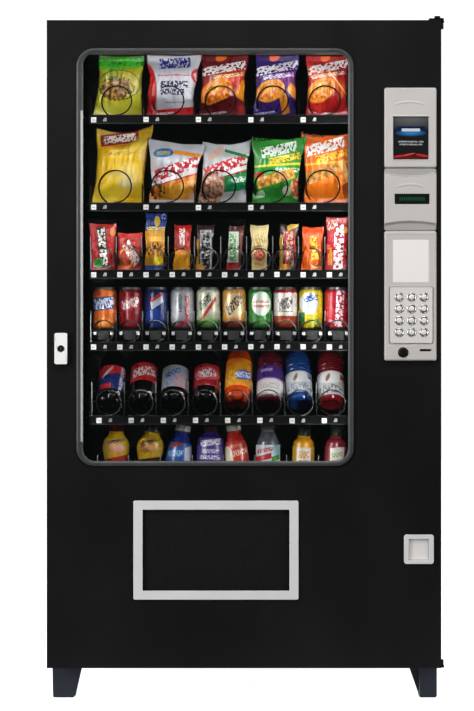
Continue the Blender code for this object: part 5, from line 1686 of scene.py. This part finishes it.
def stock_bottles(trays):
    """Tall bottles lie back in tray 5 and short ones stand in tray 6."""
    tray = trays[4]
    cap = surface("bottle_cap", rgb(30, 30, 32), 0.35)
    for column, (form, shift, side, colour, span, lobes, field, layers) in enumerate(TALL_BOTTLES):
        name = f"tall_bottle_{column + 1}"
        neck = 0.0200 if form == "ribbed" else 0.0135
        foot = 0.014 if lobes else 0.010
        shape = (TALL_HEIGHT, TALL_RADIUS, form, neck, neck + 0.0007, span, foot, TALL_CROWN)
        look = [drink(f"{name}_drink", colour), label(f"{name}_label", field, layers, shape), cap]
        place = (tray.centre(column) + shift, tray.front + TALL_PLACE[0], tray.floor + TALL_PLACE[1])
        make_bottle(name, tray, place, shape, look, (TALL_LEAN, side), lobes)
    tray = trays[5]
    for column, facts in enumerate(SHORT_BOTTLES):
        form, shift, side, height, radius, neck, cap_radius, crown = facts[:8]
        span, body, cap_colour, field, layers = facts[8:]
        name = f"short_bottle_{column + 1}"
        shape = (height, radius, form, neck, cap_radius, span, SHORT_FOOT, crown)
        look = [drink(f"{name}_body", body, 0.2), label(f"{name}_label", field, layers, shape),
                surface(f"{name}_cap", rgb(*cap_colour), 0.35, shade=0.04)]
        place = (tray.centre(column) + shift, tray.front + SHORT_PLACE[0], tray.floor + SHORT_PLACE[1])
        make_bottle(name, tray, place, shape, look, (SHORT_LEAN, side))


# ---- Build ----------------------------------------------------------------------------------------
make_trim()
make_payment_top()
make_payment_middle()
make_payment_lower()
make_keys()
make_lock()
make_delivery_bezel()
make_coin_cup()
make_door_skin()
make_rear_screws()
trays = [Tray(number + 1, facts) for number, facts in enumerate(TRAYS)]
for tray in trays:
    make_spirals(tray)
    make_motors(tray)
    make_labels(tray)
    make_divider_wires(tray)
stock_bags(trays)
for can_column, can_name in enumerate(CAN_NAMES):
    make_can(trays[3], can_column, CAN_FILMS[can_name])
make_risers(trays[3])
stock_bottles(trays)


# ---- Floor, light and camera ----------------------------------------------------------------------
def make_floor():
    """A white floor that starts just in front of the machine."""
    graph = Graph("studio_floor")
    graph.set(Base_Color=(0.82, 0.82, 0.82, 1.0), Roughness=0.9, Emission_Color=(1.0, 1.0, 1.0, 1.0),
              Emission_Strength=0.95, Specular_IOR_Level=0.0)
    mesh = bmesh.new()
    near, far, side = FRONT - 0.12, FRONT + 14.0, 9.0
    corners = ((-side, near), (side, near), (side, far), (-side, far))
    mesh.faces.new([mesh.verts.new((x, y, 0.0)) for x, y in corners])
    data = bpy.data.meshes.new("studio_floor")
    mesh.to_mesh(data)
    mesh.free()
    data.materials.append(graph.material)
    floor = bpy.data.objects.new("studio_floor", data)
    bpy.context.scene.collection.objects.link(floor)


def make_world():
    """White surroundings behind the machine, dim ones in front of it."""
    world = bpy.data.worlds.new("studio")
    bpy.context.scene.world = world
    world.use_nodes = True
    nodes, links = world.node_tree.nodes, world.node_tree.links
    background = nodes["Background"]
    direction = nodes.new("ShaderNodeTexCoord")
    parts = nodes.new("ShaderNodeSeparateXYZ")
    ramp = nodes.new("ShaderNodeMapRange")
    for socket, value in zip(("From Min", "From Max", "To Min", "To Max"), (0.1, 0.6, 0.08, 1.1)):
        ramp.inputs[socket].default_value = value
    links.new(direction.outputs["Generated"], parts.inputs["Vector"])
    links.new(parts.outputs["Y"], ramp.inputs["Value"])
    links.new(ramp.outputs["Result"], background.inputs["Strength"])
    background.inputs["Color"].default_value = (1.0, 1.0, 1.0, 1.0)


def add_light(name, place, target, size, power):
    """A white rectangular area light aimed at a point."""
    lamp = bpy.data.lights.new(name, "AREA")
    lamp.shape = "RECTANGLE"
    lamp.size, lamp.size_y = size
    lamp.energy = power
    made = bpy.data.objects.new(name, lamp)
    bpy.context.scene.collection.objects.link(made)
    made.location = place
    made.rotation_euler = (Vector(target) - Vector(place)).to_track_quat("-Z", "Y").to_euler()


def make_lights():
    """Three studio lights outside, and three narrow ones inside the window."""
    middle = (CENTRE_X, FRONT, 0.95)
    add_light("key_left", (CENTRE_X - 3.6, FRONT - 2.6, 1.9), middle, (1.6, 2.4), 135)
    add_light("key_right", (CENTRE_X + 3.6, FRONT - 2.6, 1.9), middle, (1.6, 2.4), 62)
    add_light("overhead", (CENTRE_X, FRONT - 2.2, 4.2), (CENTRE_X, FRONT, 1.4), (2.6, 1.2), 75)
    left, right = TRIM_LOW[0] + 0.012, TRIM_HIGH[0] - 0.012
    low, high = TRIM_LOW[2] + 0.04, TRIM_HIGH[2] - 0.02
    inner_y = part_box("window_glass")[1][1] + 0.02
    half = (low + high) / 2
    across = (left + right) / 2
    tube = (0.02, high - low)
    add_light("case_left", (left, inner_y, half), (CENTRE_X, FRONT + 0.30, half), tube, 4.0)
    add_light("case_right", (right, inner_y, half), (CENTRE_X - 0.2, FRONT + 0.30, half), tube, 4.0)
    add_light("case_top", (across, inner_y, high), (across, FRONT + 0.4, half), (right - left, 0.02), 0.8)


def make_camera():
    """Long lens square to the front."""
    scene = bpy.context.scene
    lens = bpy.data.cameras.new("front_view")
    lens.sensor_fit = "VERTICAL"
    lens.sensor_height = SENSOR
    lens.lens = SENSOR * CAMERA_DISTANCE / CAMERA_VIEW_HEIGHT
    lens.clip_end = 60.0
    camera = bpy.data.objects.new("front_view", lens)
    scene.collection.objects.link(camera)
    camera.location = (CENTRE_X + CAMERA_SIDE, FRONT - CAMERA_DISTANCE, CAMERA_HEIGHT)
    camera.rotation_euler = (radians(90.0), 0.0, 0.0)
    scene.camera = camera
    scene.view_settings.view_transform = "Standard"


make_floor()
make_world()
make_lights()
make_camera()
